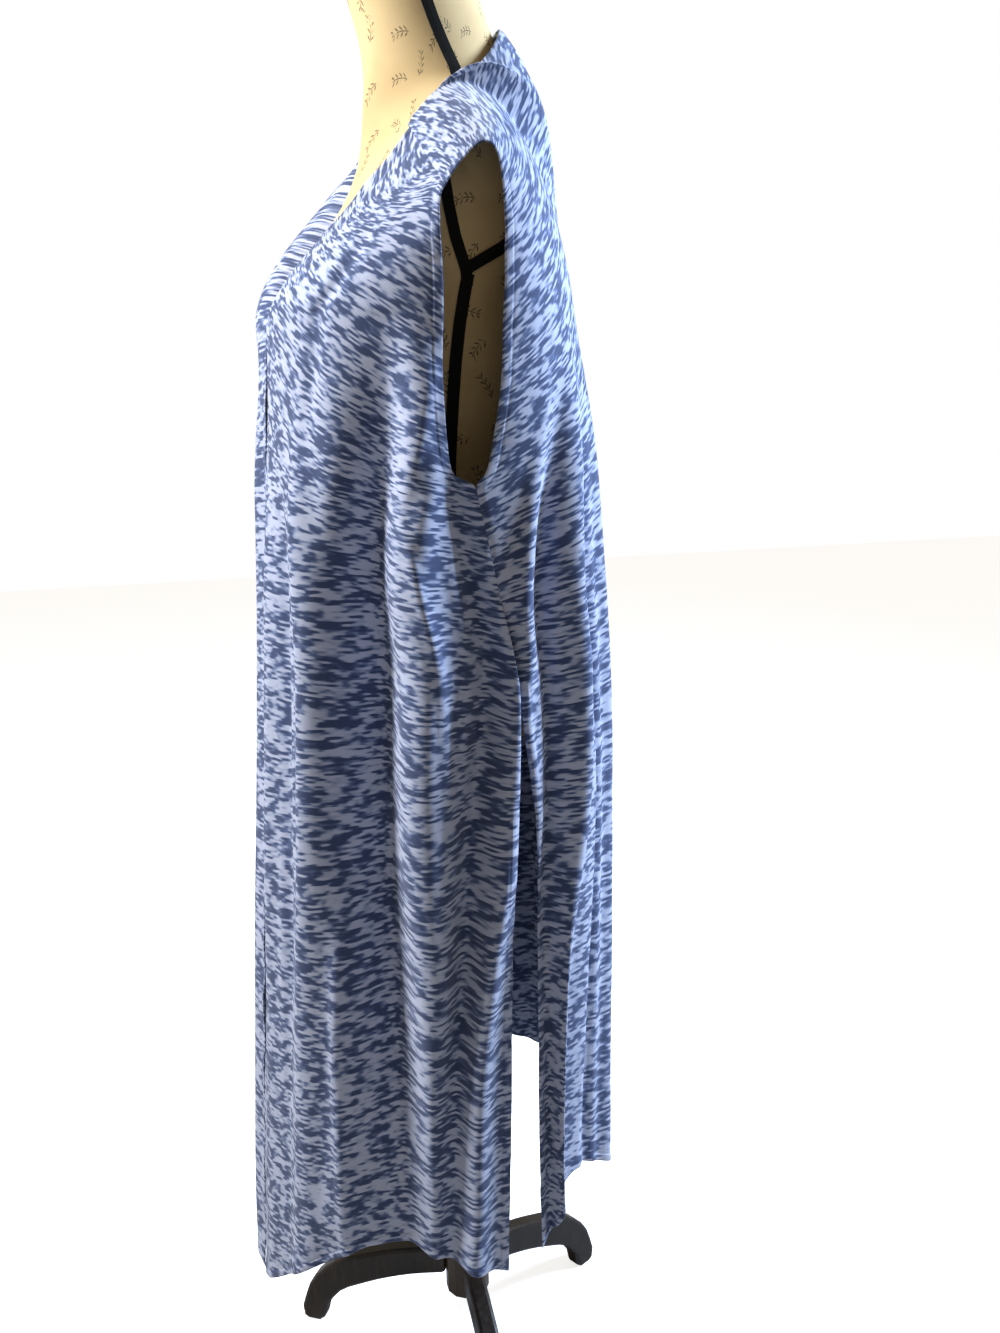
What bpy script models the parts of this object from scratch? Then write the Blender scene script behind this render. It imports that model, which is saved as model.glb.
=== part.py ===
# A sleeveless duster cardigan, worn open on a limbless dress form with a three-legged stand.
# Metres, +Z up. The wearer faces -Y and the wearer's left is +X. Everything is modelled about
# the pole's axis, and centre_part() then moves it so that its box stands centred on the origin.

import math
from collections import namedtuple

import bmesh
import bpy
import numpy as np

# Cloth
WALL = 0.0022                 # knit jersey, with the play of its turned edges
SEAM_GAP = 0.0003             # between two pieces that meet
YOKE_Z = 1.160                # below this the cloth hangs in rings, above it over the shoulders
ARMHOLE_BOTTOM_Z = 1.012
SLIT_TOP_Z = 0.835
HEM_Z = 0.220                 # at the side corners
FRONT_GAP = 0.004             # from the centre to each front edge, below the neckline

YOKE_ROWS = 10
ARMHOLE_LEVELS = [1.160, 1.115, 1.075, 1.045, 1.024]
SIDE_SEAM_ROWS = 4
SLIT_ROWS = 13
FRONT_COLUMNS = 26
SHOULDER_COLUMNS = 11         # of the back, along one shoulder seam
NECK_COLUMNS = 7              # of the back, along half the back neckline
ARC_SAMPLES = 48
NECK_STEPS = 8
PLAN_STEP = 0.02              # radians, over which a side seam's normal is taken
UPWARD_STEP = 0.010           # over which the cloth's direction at the first ring is taken

# The cloth's rings: half its width, how far it reaches forward and back, where its side lies,
# and how square it is.
Ring = namedtuple("Ring", "z half front back side square")
CLOTH_RINGS = [
    Ring(1.160, 0.191, -0.166, 0.122, -0.010, 2.4),
    Ring(1.012, 0.196, -0.173, 0.141, -0.010, 2.4),
    Ring(0.835, 0.190, -0.184, 0.147, 0.018, 2.4),
    Ring(0.600, 0.180, -0.199, 0.150, 0.026, 2.4),
    Ring(0.400, 0.172, -0.212, 0.153, 0.028, 2.4),
    Ring(0.130, 0.165, -0.228, 0.157, 0.030, 2.4),
]

# The side edges of the fronts and the back: the armhole, the side seam, then the slit.
Edge = namedtuple("Edge", "z front back")
SIDE_EDGES = [
    Edge(1.160, -0.036, 0.016),
    Edge(1.100, -0.039, 0.011),
    Edge(1.045, -0.037, 0.001),
    Edge(1.024, -0.033, -0.005),
    Edge(1.012, -0.014, -0.014),
    Edge(0.930, 0.003, 0.003),
    Edge(0.835, 0.020, 0.020),
    Edge(0.780, 0.019, 0.026),
    Edge(0.700, 0.017, 0.036),
    Edge(0.600, 0.014, 0.040),
    Edge(0.400, 0.010, 0.038),
    Edge(0.130, 0.000, 0.046),
]

# The neck and shoulders: the forward shoulder seam's two ends and the place where the neckline
# crosses the shoulder, each written for the wearer's left. The garment has slipped a little to
# the left, so on the right its neckline stands higher against the neck.
Shoulder = namedtuple("Shoulder", "seam_neck seam_arm sag neck_side")
LEFT_SHOULDER = Shoulder((0.072, -0.035, 1.327), (0.183, -0.030, 1.255), 0.000, (0.0725, 0.004, 1.3672))
RIGHT_SHOULDER = Shoulder((0.063, -0.050, 1.352), (0.183, -0.030, 1.255), 0.0126, (0.066, 0.002, 1.374))
NECK_TAPE_ENDS = {1: 1.368, -1: 1.380}    # where the tape goes under the cloth, left and right
NECK_BACK = np.array([0.000, 0.069, 1.431])        # the middle of the back neckline
NECK_ROUND = 1.8                                   # how late the neckline rises to that middle
SEAM_RISE = math.radians(56)                       # how steeply the cloth climbs at the seam
NECK_FALL = math.radians(-38)                      # and how it leaves the back of the neck

# How far each panel keeps the direction it sets out in, at its inner and its outer side.
Reach = namedtuple("Reach", "inner outer")
FRONT_START = Reach(0.075, 0.016)
FRONT_END = Reach(0.050, 0.045)
BACK_START = Reach(0.126, 0.087)
BACK_END = Reach(0.138, 0.120)
BACK_NECK_START = 0.050

# Hems: across the panel from its inner edge to its side edge, the height of the hem.
Hem = namedtuple("Hem", "across z")
FRONT_HEM = [
    Hem(0.00, 0.156),
    Hem(0.15, 0.184),
    Hem(0.38, 0.235),
    Hem(0.55, 0.261),
    Hem(0.66, 0.261),
    Hem(0.80, 0.248),
    Hem(1.00, 0.229),
]
BACK_HEM = [
    Hem(0.00, 0.276),
    Hem(0.50, 0.296),
    Hem(0.80, 0.321),
    Hem(0.88, 0.314),
    Hem(0.94, 0.255),
    Hem(1.00, 0.241),
]

# Folds: where each lies across its panel at its top, half way and at the hem, how wide and how
# high it is, and the heights at which it starts, is full, and ends (0 where it runs to the hem).
# A height below zero is a valley. On the back, the wearer's right is below zero.
Fold = namedtuple("Fold", "top middle bottom width height start full end")
LEFT_FRONT_FOLDS = [
    Fold(0.00, 0.00, 0.00, 0.10, -0.008, 1.280, 1.220, 1.00),
    Fold(0.17, 0.17, 0.15, 0.07, 0.010, 1.060, 0.900, 0.00),
    Fold(0.25, 0.25, 0.24, 0.05, -0.007, 1.020, 0.850, 0.00),
    Fold(0.34, 0.33, 0.35, 0.06, 0.011, 1.060, 0.880, 0.00),
    Fold(0.64, 0.53, 0.57, 0.14, -0.022, 1.200, 0.930, 0.00),
    Fold(0.84, 0.72, 0.77, 0.08, 0.016, 1.140, 0.950, 0.00),
    Fold(0.93, 0.88, 0.86, 0.07, -0.013, 1.020, 0.880, 0.30),
    Fold(0.99, 0.91, 0.92, 0.05, 0.009, 0.860, 0.700, 0.00),
]
RIGHT_FRONT_FOLDS = [
    Fold(0.20, 0.16, 0.10, 0.20, 0.018, 1.350, 1.290, 1.08),
    Fold(0.00, 0.00, 0.00, 0.10, -0.012, 1.300, 1.240, 1.08),
    Fold(0.09, 0.10, 0.08, 0.09, 0.010, 1.180, 1.000, 0.00),
    Fold(0.22, 0.24, 0.22, 0.06, -0.009, 1.080, 0.900, 0.00),
    Fold(0.40, 0.36, 0.41, 0.08, 0.012, 1.120, 0.860, 0.00),
    Fold(0.60, 0.52, 0.56, 0.11, -0.018, 1.180, 0.920, 0.00),
    Fold(0.80, 0.70, 0.73, 0.09, 0.014, 1.140, 0.940, 0.00),
    Fold(0.92, 0.88, 0.87, 0.06, -0.010, 1.000, 0.860, 0.00),
]
BACK_FOLDS = [
    Fold(0.92, 0.92, 0.91, 0.05, -0.011, 0.960, 0.750, 0.00),
    Fold(0.82, 0.80, 0.79, 0.07, 0.012, 1.100, 0.850, 0.00),
    Fold(0.71, 0.69, 0.67, 0.06, -0.010, 1.150, 0.800, 0.00),
    Fold(0.52, 0.49, 0.52, 0.10, 0.009, 1.180, 0.850, 0.00),
    Fold(0.26, 0.28, 0.24, 0.11, -0.016, 1.230, 0.900, 0.00),
    Fold(0.06, 0.05, 0.07, 0.09, 0.012, 1.180, 0.820, 0.00),
    Fold(-0.16, -0.17, -0.14, 0.09, -0.011, 1.200, 0.900, 0.00),
    Fold(-0.36, -0.34, -0.38, 0.10, 0.013, 1.160, 0.840, 0.00),
    Fold(-0.58, -0.55, -0.57, 0.09, -0.015, 1.200, 0.880, 0.00),
    Fold(-0.78, -0.75, -0.74, 0.08, 0.012, 1.100, 0.860, 0.00),
    Fold(-0.91, -0.90, -0.90, 0.06, -0.010, 0.980, 0.780, 0.00),
]

# The dress form
TorsoRing = namedtuple("TorsoRing", "z half front back side square")
TORSO_RINGS = [
    TorsoRing(1.492, 0.053, -0.082, 0.042, -0.022, 2.0),
    TorsoRing(1.450, 0.054, -0.071, 0.054, -0.014, 2.0),
    TorsoRing(1.420, 0.055, -0.063, 0.065, -0.004, 2.0),
    TorsoRing(1.390, 0.059, -0.060, 0.077, 0.008, 1.9),
    TorsoRing(1.380, 0.062, -0.060, 0.081, 0.012, 1.82),
    TorsoRing(1.370, 0.0645, -0.061, 0.082, 0.014, 1.7),
    TorsoRing(1.350, 0.0838, -0.063, 0.087, 0.014, 1.3),
    TorsoRing(1.330, 0.1146, -0.065, 0.090, 0.014, 1.25),
    TorsoRing(1.300, 0.158, -0.071, 0.095, 0.012, 1.4),
    TorsoRing(1.275, 0.167, -0.083, 0.099, 0.010, 1.7),
    TorsoRing(1.250, 0.165, -0.100, 0.102, 0.010, 1.9),
    TorsoRing(1.220, 0.158, -0.120, 0.105, 0.004, 2.1),
    TorsoRing(1.190, 0.150, -0.141, 0.105, -0.004, 2.2),
    TorsoRing(1.150, 0.147, -0.149, 0.103, -0.012, 2.2),
    TorsoRing(1.090, 0.140, -0.138, 0.096, -0.018, 2.2),
    TorsoRing(1.020, 0.126, -0.108, 0.083, -0.020, 2.2),
    TorsoRing(0.960, 0.121, -0.094, 0.078, -0.016, 2.2),
    TorsoRing(0.880, 0.142, -0.104, 0.100, -0.008, 2.2),
    TorsoRing(0.815, 0.155, -0.111, 0.114, 0.000, 2.2),
    TorsoRing(0.775, 0.151, -0.106, 0.111, 0.000, 2.2),
]
TORSO_LEVELS = 26
LEVEL_SPACING = 0.009         # the least between two levels
TORSO_QUARTER = 9             # columns from the front or back to the side tape
PLATE_X = 0.150               # the flat ends at the armholes
PLATE_CENTRE = (0.012, 1.244)
PLATE_RADII = (0.035, 0.050)
PLATE_TILT = math.radians(16)
PLATE_STEPS = 40
TAPE_WIDTH = 0.011
TAPE = 0.0010                 # thickness
TAPE_GAP = 0.0004
SIDE_TAPE_GAP = 0.002         # below the armhole tape

# The stand
FOOT_TURN = math.radians(-1.7)    # of the first leg, from +X
LEG_WIDTH = 0.021
LEG_BEVEL = 0.004
HUB_FLAT = 0.024              # from the axis to the hub's flats
HUB_SIDES = 12
HUB_BOTTOM_Z = 0.082
HUB_TOP_Z = 0.160
POLE_RADIUS = 0.014
POLE_SIDES = 24
LEG_TOP = [(0.0243, 0.130), (0.070, 0.121), (0.120, 0.105), (0.168, 0.083), (0.198, 0.052), (0.211, 0.016)]
LEG_FOOT = [(0.209, 0.003), (0.203, 0.000), (0.188, 0.000), (0.183, 0.004)]
LEG_BOTTOM = [(0.178, 0.022), (0.162, 0.043), (0.125, 0.064), (0.070, 0.086), (0.0243, 0.098)]

# Material colours, in linear light
KNIT_COLOUR = (0.230, 0.290, 0.480, 1.0)
COVER_COLOUR = (0.780, 0.640, 0.400, 1.0)
TAPE_COLOUR = (0.010, 0.009, 0.008, 1.0)
WOOD_COLOUR = (0.012, 0.008, 0.006, 1.0)


# ---- tables and curves

def smooth(t):
    t = min(max(t, 0.0), 1.0)
    return t * t * (3 - 2 * t)


def table_slopes(table):
    """Slopes at a table's rows that never carry the curve past the rows themselves."""
    steps = np.diff(table, axis=0) / np.diff(table[:, 0])[:, None]
    slopes = np.vstack([steps[:1], np.zeros_like(steps[1:]), steps[-1:]])
    before, after = steps[:-1], steps[1:]
    agree = before * after > 0
    slopes[1:-1][agree] = (2 * before * after)[agree] / (before + after)[agree]
    return slopes


def row_at(rows, key):
    """A table's row at a key, on a smooth curve through the rows, which are in order of it."""
    table = np.array(rows, dtype=float)
    if table[0, 0] > table[-1, 0]:
        table = table[::-1]
    keys = table[:, 0]
    key = min(max(key, keys[0]), keys[-1])
    slopes = table_slopes(table)
    i = min(int(np.searchsorted(keys, key, side="right")) - 1, len(keys) - 2)
    step = keys[i + 1] - keys[i]
    t = (key - keys[i]) / step
    start = (2 * t**3 - 3 * t**2 + 1) * table[i] + (t**3 - 2 * t**2 + t) * step * slopes[i]
    finish = (3 * t**2 - 2 * t**3) * table[i + 1] + (t**3 - t**2) * step * slopes[i + 1]
    return type(rows[0])(*(start + finish))


def curve_through(points, steps):
    """Points along a smooth curve through the given ones, evenly spaced by its own length."""
    points = np.array(points, dtype=float)
    lengths = np.append(0.0, np.cumsum(np.linalg.norm(np.diff(points, axis=0), axis=1)))
    slopes = np.gradient(points, lengths, axis=0)
    out = []
    for s in np.linspace(0, lengths[-1], steps + 1):
        i = min(int(np.searchsorted(lengths, s, side="right")) - 1, len(lengths) - 2)
        step = lengths[i + 1] - lengths[i]
        t = (s - lengths[i]) / step
        start = (2 * t**3 - 3 * t**2 + 1) * points[i] + (t**3 - 2 * t**2 + t) * step * slopes[i]
        finish = (3 * t**2 - 2 * t**3) * points[i + 1] + (t**3 - t**2) * step * slopes[i + 1]
        out.append(start + finish)
    return np.array(out)


def bezier(start, start_handle, end_handle, end, t):
    return ((1 - t)**3 * start + 3 * t * (1 - t)**2 * start_handle
            + 3 * t**2 * (1 - t) * end_handle + t**3 * end)


def between(pair, t):
    return pair.inner + (pair.outer - pair.inner) * t


# ---- the cloth's shape

def ring_plan(ring, angle):
    """A ring's point in plan: the angle runs from the front, 0, by the side to the back, pi."""
    power = 2 / ring.square
    reach = ring.front - ring.side if angle < math.pi / 2 else ring.back - ring.side
    x = ring.half * abs(math.sin(angle))**power
    y = ring.side + reach * abs(math.cos(angle))**power
    return x, y


def angle_of_x(ring, x):
    return math.asin((x / ring.half)**(ring.square / 2))


def angle_of_y(ring, y):
    if y < ring.side:
        share = (ring.side - y) / (ring.side - ring.front)
        return math.acos(share**(ring.square / 2))
    share = (y - ring.side) / (ring.back - ring.side)
    return math.pi - math.acos(share**(ring.square / 2))


def side_edge(z, is_front):
    """How far back a panel's side edge lies. Both panels share it along the side seam."""
    edge = row_at(SIDE_EDGES, z)
    if SLIT_TOP_Z < z < ARMHOLE_BOTTOM_Z:
        return (edge.front + edge.back) / 2
    return edge.front if is_front else edge.back


def arc_point(z, is_front, across):
    """A point of the hanging cloth: across is 0 at the centre of the panel, 1 at its side edge."""
    ring = row_at(CLOTH_RINGS, z)
    first = angle_of_x(ring, FRONT_GAP) if is_front else math.pi
    last = angle_of_y(ring, side_edge(z, is_front))
    plan = np.array([ring_plan(ring, a) for a in np.linspace(first, last, ARC_SAMPLES)])
    lengths = np.append(0.0, np.cumsum(np.linalg.norm(np.diff(plan, axis=0), axis=1)))
    at = across * lengths[-1]
    return np.array([np.interp(at, lengths, plan[:, 0]), np.interp(at, lengths, plan[:, 1]), z])


def seam_point(shoulder, t):
    start, end = np.array(shoulder.seam_neck), np.array(shoulder.seam_arm)
    return start + (end - start) * t - np.array([0.0, 0.0, shoulder.sag * 4 * t * (1 - t)])


def seam_normal(shoulder):
    along = np.array(shoulder.seam_arm) - np.array(shoulder.seam_neck)
    climb = np.array([0.0, math.cos(SEAM_RISE), math.sin(SEAM_RISE)])
    normal = np.cross(along, climb)
    return normal / np.linalg.norm(normal)


def yoke_column(start, start_direction, start_reach, end_reach, is_front, across):
    """The curve from the top edge of a panel over the shoulder or chest to the first ring."""
    end = arc_point(YOKE_Z, is_front, across)
    below = arc_point(YOKE_Z - UPWARD_STEP, is_front, across)
    upward = (end - below) / np.linalg.norm(end - below)
    start_handle = start + start_direction * start_reach
    end_handle = end + upward * end_reach
    return [bezier(start, start_handle, end_handle, end, i / YOKE_ROWS) for i in range(YOKE_ROWS)]


def ring_heights():
    """The rows below the yoke: the armhole's, closer near its bottom, the side seam's and the slit's."""
    levels = list(ARMHOLE_LEVELS)
    levels += list(np.linspace(ARMHOLE_BOTTOM_Z, SLIT_TOP_Z, SIDE_SEAM_ROWS + 1)[:-1])
    levels += list(np.linspace(SLIT_TOP_Z, HEM_Z, SLIT_ROWS + 1))
    return levels


def hanging_column(hem, is_front, across):
    """The column's points from the first ring to the hem, which pulls the lower rows to it."""
    drop = row_at(hem, across).z - HEM_Z
    points = []
    for level in ring_heights():
        share = smooth((SLIT_TOP_Z - level) / (SLIT_TOP_Z - HEM_Z))
        points.append(arc_point(level + drop * share, is_front, across))
    return points


def front_grid(shoulder):
    """A left front without its folds: a column of points for each step from the front edge."""
    columns = []
    climb = np.array([0.0, math.cos(SEAM_RISE), math.sin(SEAM_RISE)])
    for i in range(FRONT_COLUMNS + 1):
        across = i / FRONT_COLUMNS
        top = yoke_column(seam_point(shoulder, across), -climb, between(FRONT_START, across),
                          between(FRONT_END, across), True, across)
        columns.append(top + hanging_column(FRONT_HEM, True, across))
    return np.array(columns)


def neckline_points(shoulder):
    """The neckline from the middle of the back round its side and down to the shoulder seam."""
    points = []
    side, seam = np.array(shoulder.neck_side), np.array(shoulder.seam_neck)
    reach = NECK_BACK - side
    for angle in np.linspace(0, math.pi / 2, NECK_STEPS + 1):
        rise = math.cos(angle)
        x = side[0] * math.sin(angle)
        points.append((x, side[1] + reach[1] * rise, side[2] + reach[2] * rise**NECK_ROUND))
    points.append((side + seam) / 2)
    points.append(seam)
    return points


def back_grid(shoulder):
    """A left half of the back without its folds, from its centre to its side edge."""
    columns = []
    neckline = curve_through(neckline_points(shoulder), NECK_COLUMNS)
    total = NECK_COLUMNS + SHOULDER_COLUMNS
    for i in range(total + 1):
        across = i / total
        if i < NECK_COLUMNS:
            start = neckline[i]
            turn = smooth(i / NECK_COLUMNS)
            angle = NECK_FALL + (SEAM_RISE - NECK_FALL) * turn
            reach = BACK_NECK_START + (BACK_START.inner - BACK_NECK_START) * turn
            outer = 0.0
        else:
            outer = (i - NECK_COLUMNS) / SHOULDER_COLUMNS
            start = seam_point(shoulder, outer)
            angle = SEAM_RISE
            reach = between(BACK_START, outer)
        direction = np.array([0.0, math.cos(angle), math.sin(angle)])
        top = yoke_column(start, direction, reach, between(BACK_END, outer), False, across)
        columns.append(top + hanging_column(BACK_HEM, False, across))
    return np.array(columns)


def fold_height(folds, across, z):
    total = 0.0
    for fold in folds:
        if z > fold.start:
            continue
        grown = smooth((fold.start - z) / (fold.start - fold.full))
        if fold.end > 0:
            grown *= smooth((z - fold.end) / (fold.full - fold.end))
        t = (fold.start - z) / (fold.start - HEM_Z)
        centre = fold.top + t * (4 * fold.middle - 3 * fold.top - fold.bottom)
        centre += 2 * t * t * (fold.top + fold.bottom - 2 * fold.middle)
        off = abs(across - centre) / fold.width
        if off < 1:
            total += fold.height * grown * 0.5 * (1 + math.cos(math.pi * off))
    return total


def grid_normals(grid):
    along_u = np.gradient(grid, axis=0)
    along_v = np.gradient(grid, axis=1)
    normals = np.cross(along_v, along_u)
    return normals / np.linalg.norm(normals, axis=2)[:, :, None]


def folded(grid, normals, folds, across_of):
    """The grid with its folds pushed out along its outward normals."""
    out = grid.copy()
    for i in range(grid.shape[0]):
        for j in range(grid.shape[1]):
            out[i, j] += normals[i, j] * fold_height(folds, across_of[i], grid[i, j, 2])
    return out


# ---- making solids

def make_material(name, colour, roughness, metallic=0.0):
    material = bpy.data.materials.new(name)
    material.use_nodes = True
    shader = material.node_tree.nodes["Principled BSDF"]
    shader.inputs["Base Color"].default_value = colour
    shader.inputs["Roughness"].default_value = roughness
    shader.inputs["Metallic"].default_value = metallic
    material.diffuse_color = colour
    return material


def make_object(name, points, faces, material, is_smooth=True):
    mesh = bpy.data.meshes.new(name)
    mesh.from_pydata([tuple(p) for p in points], [], faces)
    work = bmesh.new()
    work.from_mesh(mesh)
    bmesh.ops.recalc_face_normals(work, faces=work.faces[:])
    work.to_mesh(mesh)
    work.free()
    if is_smooth:
        mesh.shade_smooth()
        mesh.set_sharp_from_angle(angle=math.radians(40))
    mesh.materials.append(material)
    piece = bpy.data.objects.new(name, mesh)
    bpy.context.scene.collection.objects.link(piece)
    return piece


def make_wall(name, grid, normals, thickness, lift, material, is_smooth=True):
    """A closed wall on a grid: its inner skin is lift above the grid, its outer one a thickness more."""
    count_u, count_v = grid.shape[:2]
    inner = (grid + normals * lift).reshape(-1, 3)
    outer = (grid + normals * (lift + thickness)).reshape(-1, 3)
    size = count_u * count_v

    def at(i, j):
        return i * count_v + j

    faces = []
    for i in range(count_u - 1):
        for j in range(count_v - 1):
            quad = (at(i, j), at(i + 1, j), at(i + 1, j + 1), at(i, j + 1))
            faces.append(tuple(k + size for k in quad))
            faces.append(quad[::-1])
    rim = [at(i, 0) for i in range(count_u)]
    rim += [at(count_u - 1, j) for j in range(1, count_v)]
    rim += [at(i, count_v - 1) for i in range(count_u - 2, -1, -1)]
    rim += [at(0, j) for j in range(count_v - 2, 0, -1)]
    for k, first in enumerate(rim):
        second = rim[(k + 1) % len(rim)]
        faces.append((first, first + size, second + size, second))
    return make_object(name, np.vstack([inner, outer]), faces, material, is_smooth)


# ---- the cardigan

def pull_in(edge, inner, gap):
    """An edge's points moved into their own panel by half the seam gap."""
    inward = inner - edge
    return edge + inward / np.linalg.norm(inward, axis=-1)[..., None] * gap


def side_normals(grid, column):
    """Normals along a side seam that the front and the back work out alike, from the rings."""
    normals = []
    for point in grid[column]:
        ring = row_at(CLOTH_RINGS, min(point[2], YOKE_Z))
        angle = angle_of_y(ring, min(max(point[1], ring.front), ring.back))
        along = np.subtract(ring_plan(ring, angle + PLAN_STEP), ring_plan(ring, angle - PLAN_STEP))
        normal = np.array([along[1], -along[0], 0.0])
        normals.append(normal / np.linalg.norm(normal))
    return np.array(normals)


def seam_rows():
    """The rows, of a grid's column, that lie on the side seam."""
    first = YOKE_ROWS + len(ARMHOLE_LEVELS)
    return slice(first, first + SIDE_SEAM_ROWS + 1)


def make_front(name, shoulder, folds, side, material):
    grid = front_grid(shoulder)
    across = np.linspace(0, 1, FRONT_COLUMNS + 1)
    shaped = folded(grid, grid_normals(grid), folds, across)
    normals = grid_normals(shaped)
    rows = seam_rows()
    shaped[-1, rows] = pull_in(grid[-1, rows], grid[-2, rows], SEAM_GAP / 2)
    normals[-1, rows] = side_normals(grid, -1)[rows]
    shaped[:, 0] = pull_in(grid[:, 0], grid[:, 1], SEAM_GAP / 2)
    normals[:, 0] = seam_normal(shoulder)
    mirror = np.array([side, 1, 1])
    return make_wall(name, shaped * mirror, normals * mirror, WALL, -WALL / 2, material)


def make_back(name, material):
    across = np.linspace(0, 1, NECK_COLUMNS + SHOULDER_COLUMNS + 1)
    halves = []
    for side, shoulder in ((-1, RIGHT_SHOULDER), (1, LEFT_SHOULDER)):
        grid = back_grid(shoulder)
        flip = np.array([side, 1, 1])
        shaped = folded(grid, -grid_normals(grid), BACK_FOLDS, across * side)
        normals = -grid_normals(shaped)
        rows = seam_rows()
        shaped[-1, rows] = pull_in(grid[-1, rows], grid[-2, rows], SEAM_GAP / 2)
        normals[-1, rows] = side_normals(grid, -1)[rows]
        top = slice(NECK_COLUMNS, None)
        shaped[top, 0] = pull_in(grid[top, 0], grid[top, 1], SEAM_GAP / 2)
        normals[top, 0] = seam_normal(shoulder)
        halves.append((shaped * flip, normals * flip))
    right, left = halves
    middle = (right[0][:1] + left[0][:1]) / 2
    middle_normal = (right[1][:1] + left[1][:1]) / 2
    middle_normal /= np.linalg.norm(middle_normal, axis=2)[:, :, None]
    whole = np.vstack([right[0][:0:-1], middle, left[0][1:]])
    whole_normals = np.vstack([right[1][:0:-1], middle_normal, left[1][1:]])
    return make_wall(name, whole, whole_normals, WALL, -WALL / 2, material)


def make_cardigan():
    material = make_material("knit_blue_marl", KNIT_COLOUR, 0.9)
    make_back("cardigan_back", material.copy())
    make_front("cardigan_front_left", LEFT_SHOULDER, LEFT_FRONT_FOLDS, 1, material.copy())
    make_front("cardigan_front_right", RIGHT_SHOULDER, RIGHT_FRONT_FOLDS, -1, material)


# ---- the dress form

def torso_half_ring(ring):
    """The left half of a torso ring, from the front to the back, with the side tape's columns."""
    tape = TAPE_WIDTH / 2
    before = angle_of_y(ring, ring.side - tape)
    after = angle_of_y(ring, ring.side + tape)
    angles = list(np.linspace(0, before, TORSO_QUARTER + 1))
    angles.append(math.pi / 2)
    angles += list(np.linspace(after, math.pi, TORSO_QUARTER + 1))
    points = []
    for angle in angles:
        x, y = ring_plan(ring, angle)
        points.append((min(x, PLATE_X), y, ring.z))
    return np.array(points)


def torso_levels():
    """Heights of the torso's rings: every table row, and more between them."""
    top, bottom = TORSO_RINGS[0].z, TORSO_RINGS[-1].z
    extra = np.linspace(top, bottom, TORSO_LEVELS)
    levels = [ring.z for ring in TORSO_RINGS]
    levels += [z for z in extra if min(abs(z - ring.z) for ring in TORSO_RINGS) > LEVEL_SPACING]
    return sorted(levels, reverse=True)


def torso_grid():
    """Rows of whole rings, from the front round by the left side and back to the front."""
    rows = []
    for z in torso_levels():
        left = torso_half_ring(row_at(TORSO_RINGS, z))
        right = left[-2:0:-1] * np.array([-1, 1, 1])
        rows.append(np.vstack([left, right]))
    return np.array(rows)


def make_torso(grid, material):
    count_rows, count_round = grid.shape[:2]
    faces = []
    for i in range(count_rows - 1):
        for j in range(count_round):
            k = (j + 1) % count_round
            faces.append((i * count_round + j, i * count_round + k,
                          (i + 1) * count_round + k, (i + 1) * count_round + j))
    faces.append(tuple(range(count_round)))
    faces.append(tuple(range((count_rows - 1) * count_round, count_rows * count_round)))
    return make_object("form_torso", grid.reshape(-1, 3), faces, material)


def torso_side_strip(grid, top_z, bottom_z, side):
    """The torso's own points along its side, as a strip three columns wide."""
    middle = TORSO_QUARTER + 1
    rows = [row[middle - 1:middle + 2] for row in grid if bottom_z <= row[0, 2] <= top_z]
    return np.array(rows).transpose(1, 0, 2) * np.array([side, 1, 1])


def make_strip_tape(name, strip, side, material):
    normals = grid_normals(strip) * side
    return make_wall(name, strip, normals, TAPE, TAPE_GAP, material)


def make_plate_tape(name, side, material):
    """A flat ring of tape round the oval plate that closes an armhole."""
    points = []
    for lift in (TAPE_GAP, TAPE_GAP + TAPE):
        for inset in (0.0, TAPE_WIDTH):
            for i in range(PLATE_STEPS):
                angle = 2 * math.pi * i / PLATE_STEPS
                across = (PLATE_RADII[0] - inset) * math.cos(angle)
                along = (PLATE_RADII[1] - inset) * math.sin(angle)
                y = PLATE_CENTRE[0] + across * math.cos(PLATE_TILT) + along * math.sin(PLATE_TILT)
                z = PLATE_CENTRE[1] - across * math.sin(PLATE_TILT) + along * math.cos(PLATE_TILT)
                points.append((side * (PLATE_X + lift), y, z))
    faces = []
    order = (0, 1, 3, 2)
    for i in range(PLATE_STEPS):
        k = (i + 1) % PLATE_STEPS
        for a, b in zip(order, order[1:] + order[:1]):
            faces.append((a * PLATE_STEPS + i, b * PLATE_STEPS + i,
                          b * PLATE_STEPS + k, a * PLATE_STEPS + k))
    return make_object(name, points, faces, material)


def make_form():
    cover = make_material("form_cover", COVER_COLOUR, 0.85)
    grid = torso_grid()
    make_torso(grid, cover)
    tape = make_material("form_tape", TAPE_COLOUR, 0.8)
    side_tape_top = PLATE_CENTRE[1] - PLATE_RADII[1] - SIDE_TAPE_GAP
    for label, side in (("left", 1), ("right", -1)):
        low = torso_side_strip(grid, side_tape_top, TORSO_RINGS[-1].z, side)
        make_strip_tape("form_side_tape_" + label, low, side, tape.copy())
        high = torso_side_strip(grid, TORSO_RINGS[0].z, NECK_TAPE_ENDS[side], side)
        make_strip_tape("form_neck_tape_" + label, high, side, tape.copy())
        make_plate_tape("form_armhole_tape_" + label, side, tape.copy())


# ---- the stand

def make_prism(name, sides, flat, bottom, top, turn, material):
    radius = flat / math.cos(math.pi / sides)
    angles = [turn + math.pi / sides + 2 * math.pi * i / sides for i in range(sides)]
    points = [(radius * math.cos(a), radius * math.sin(a), z) for z in (bottom, top) for a in angles]
    faces = [tuple(range(sides)), tuple(range(sides, 2 * sides))]
    faces += [(i, (i + 1) % sides, sides + (i + 1) % sides, sides + i) for i in range(sides)]
    return make_object(name, points, faces, material)


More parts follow.
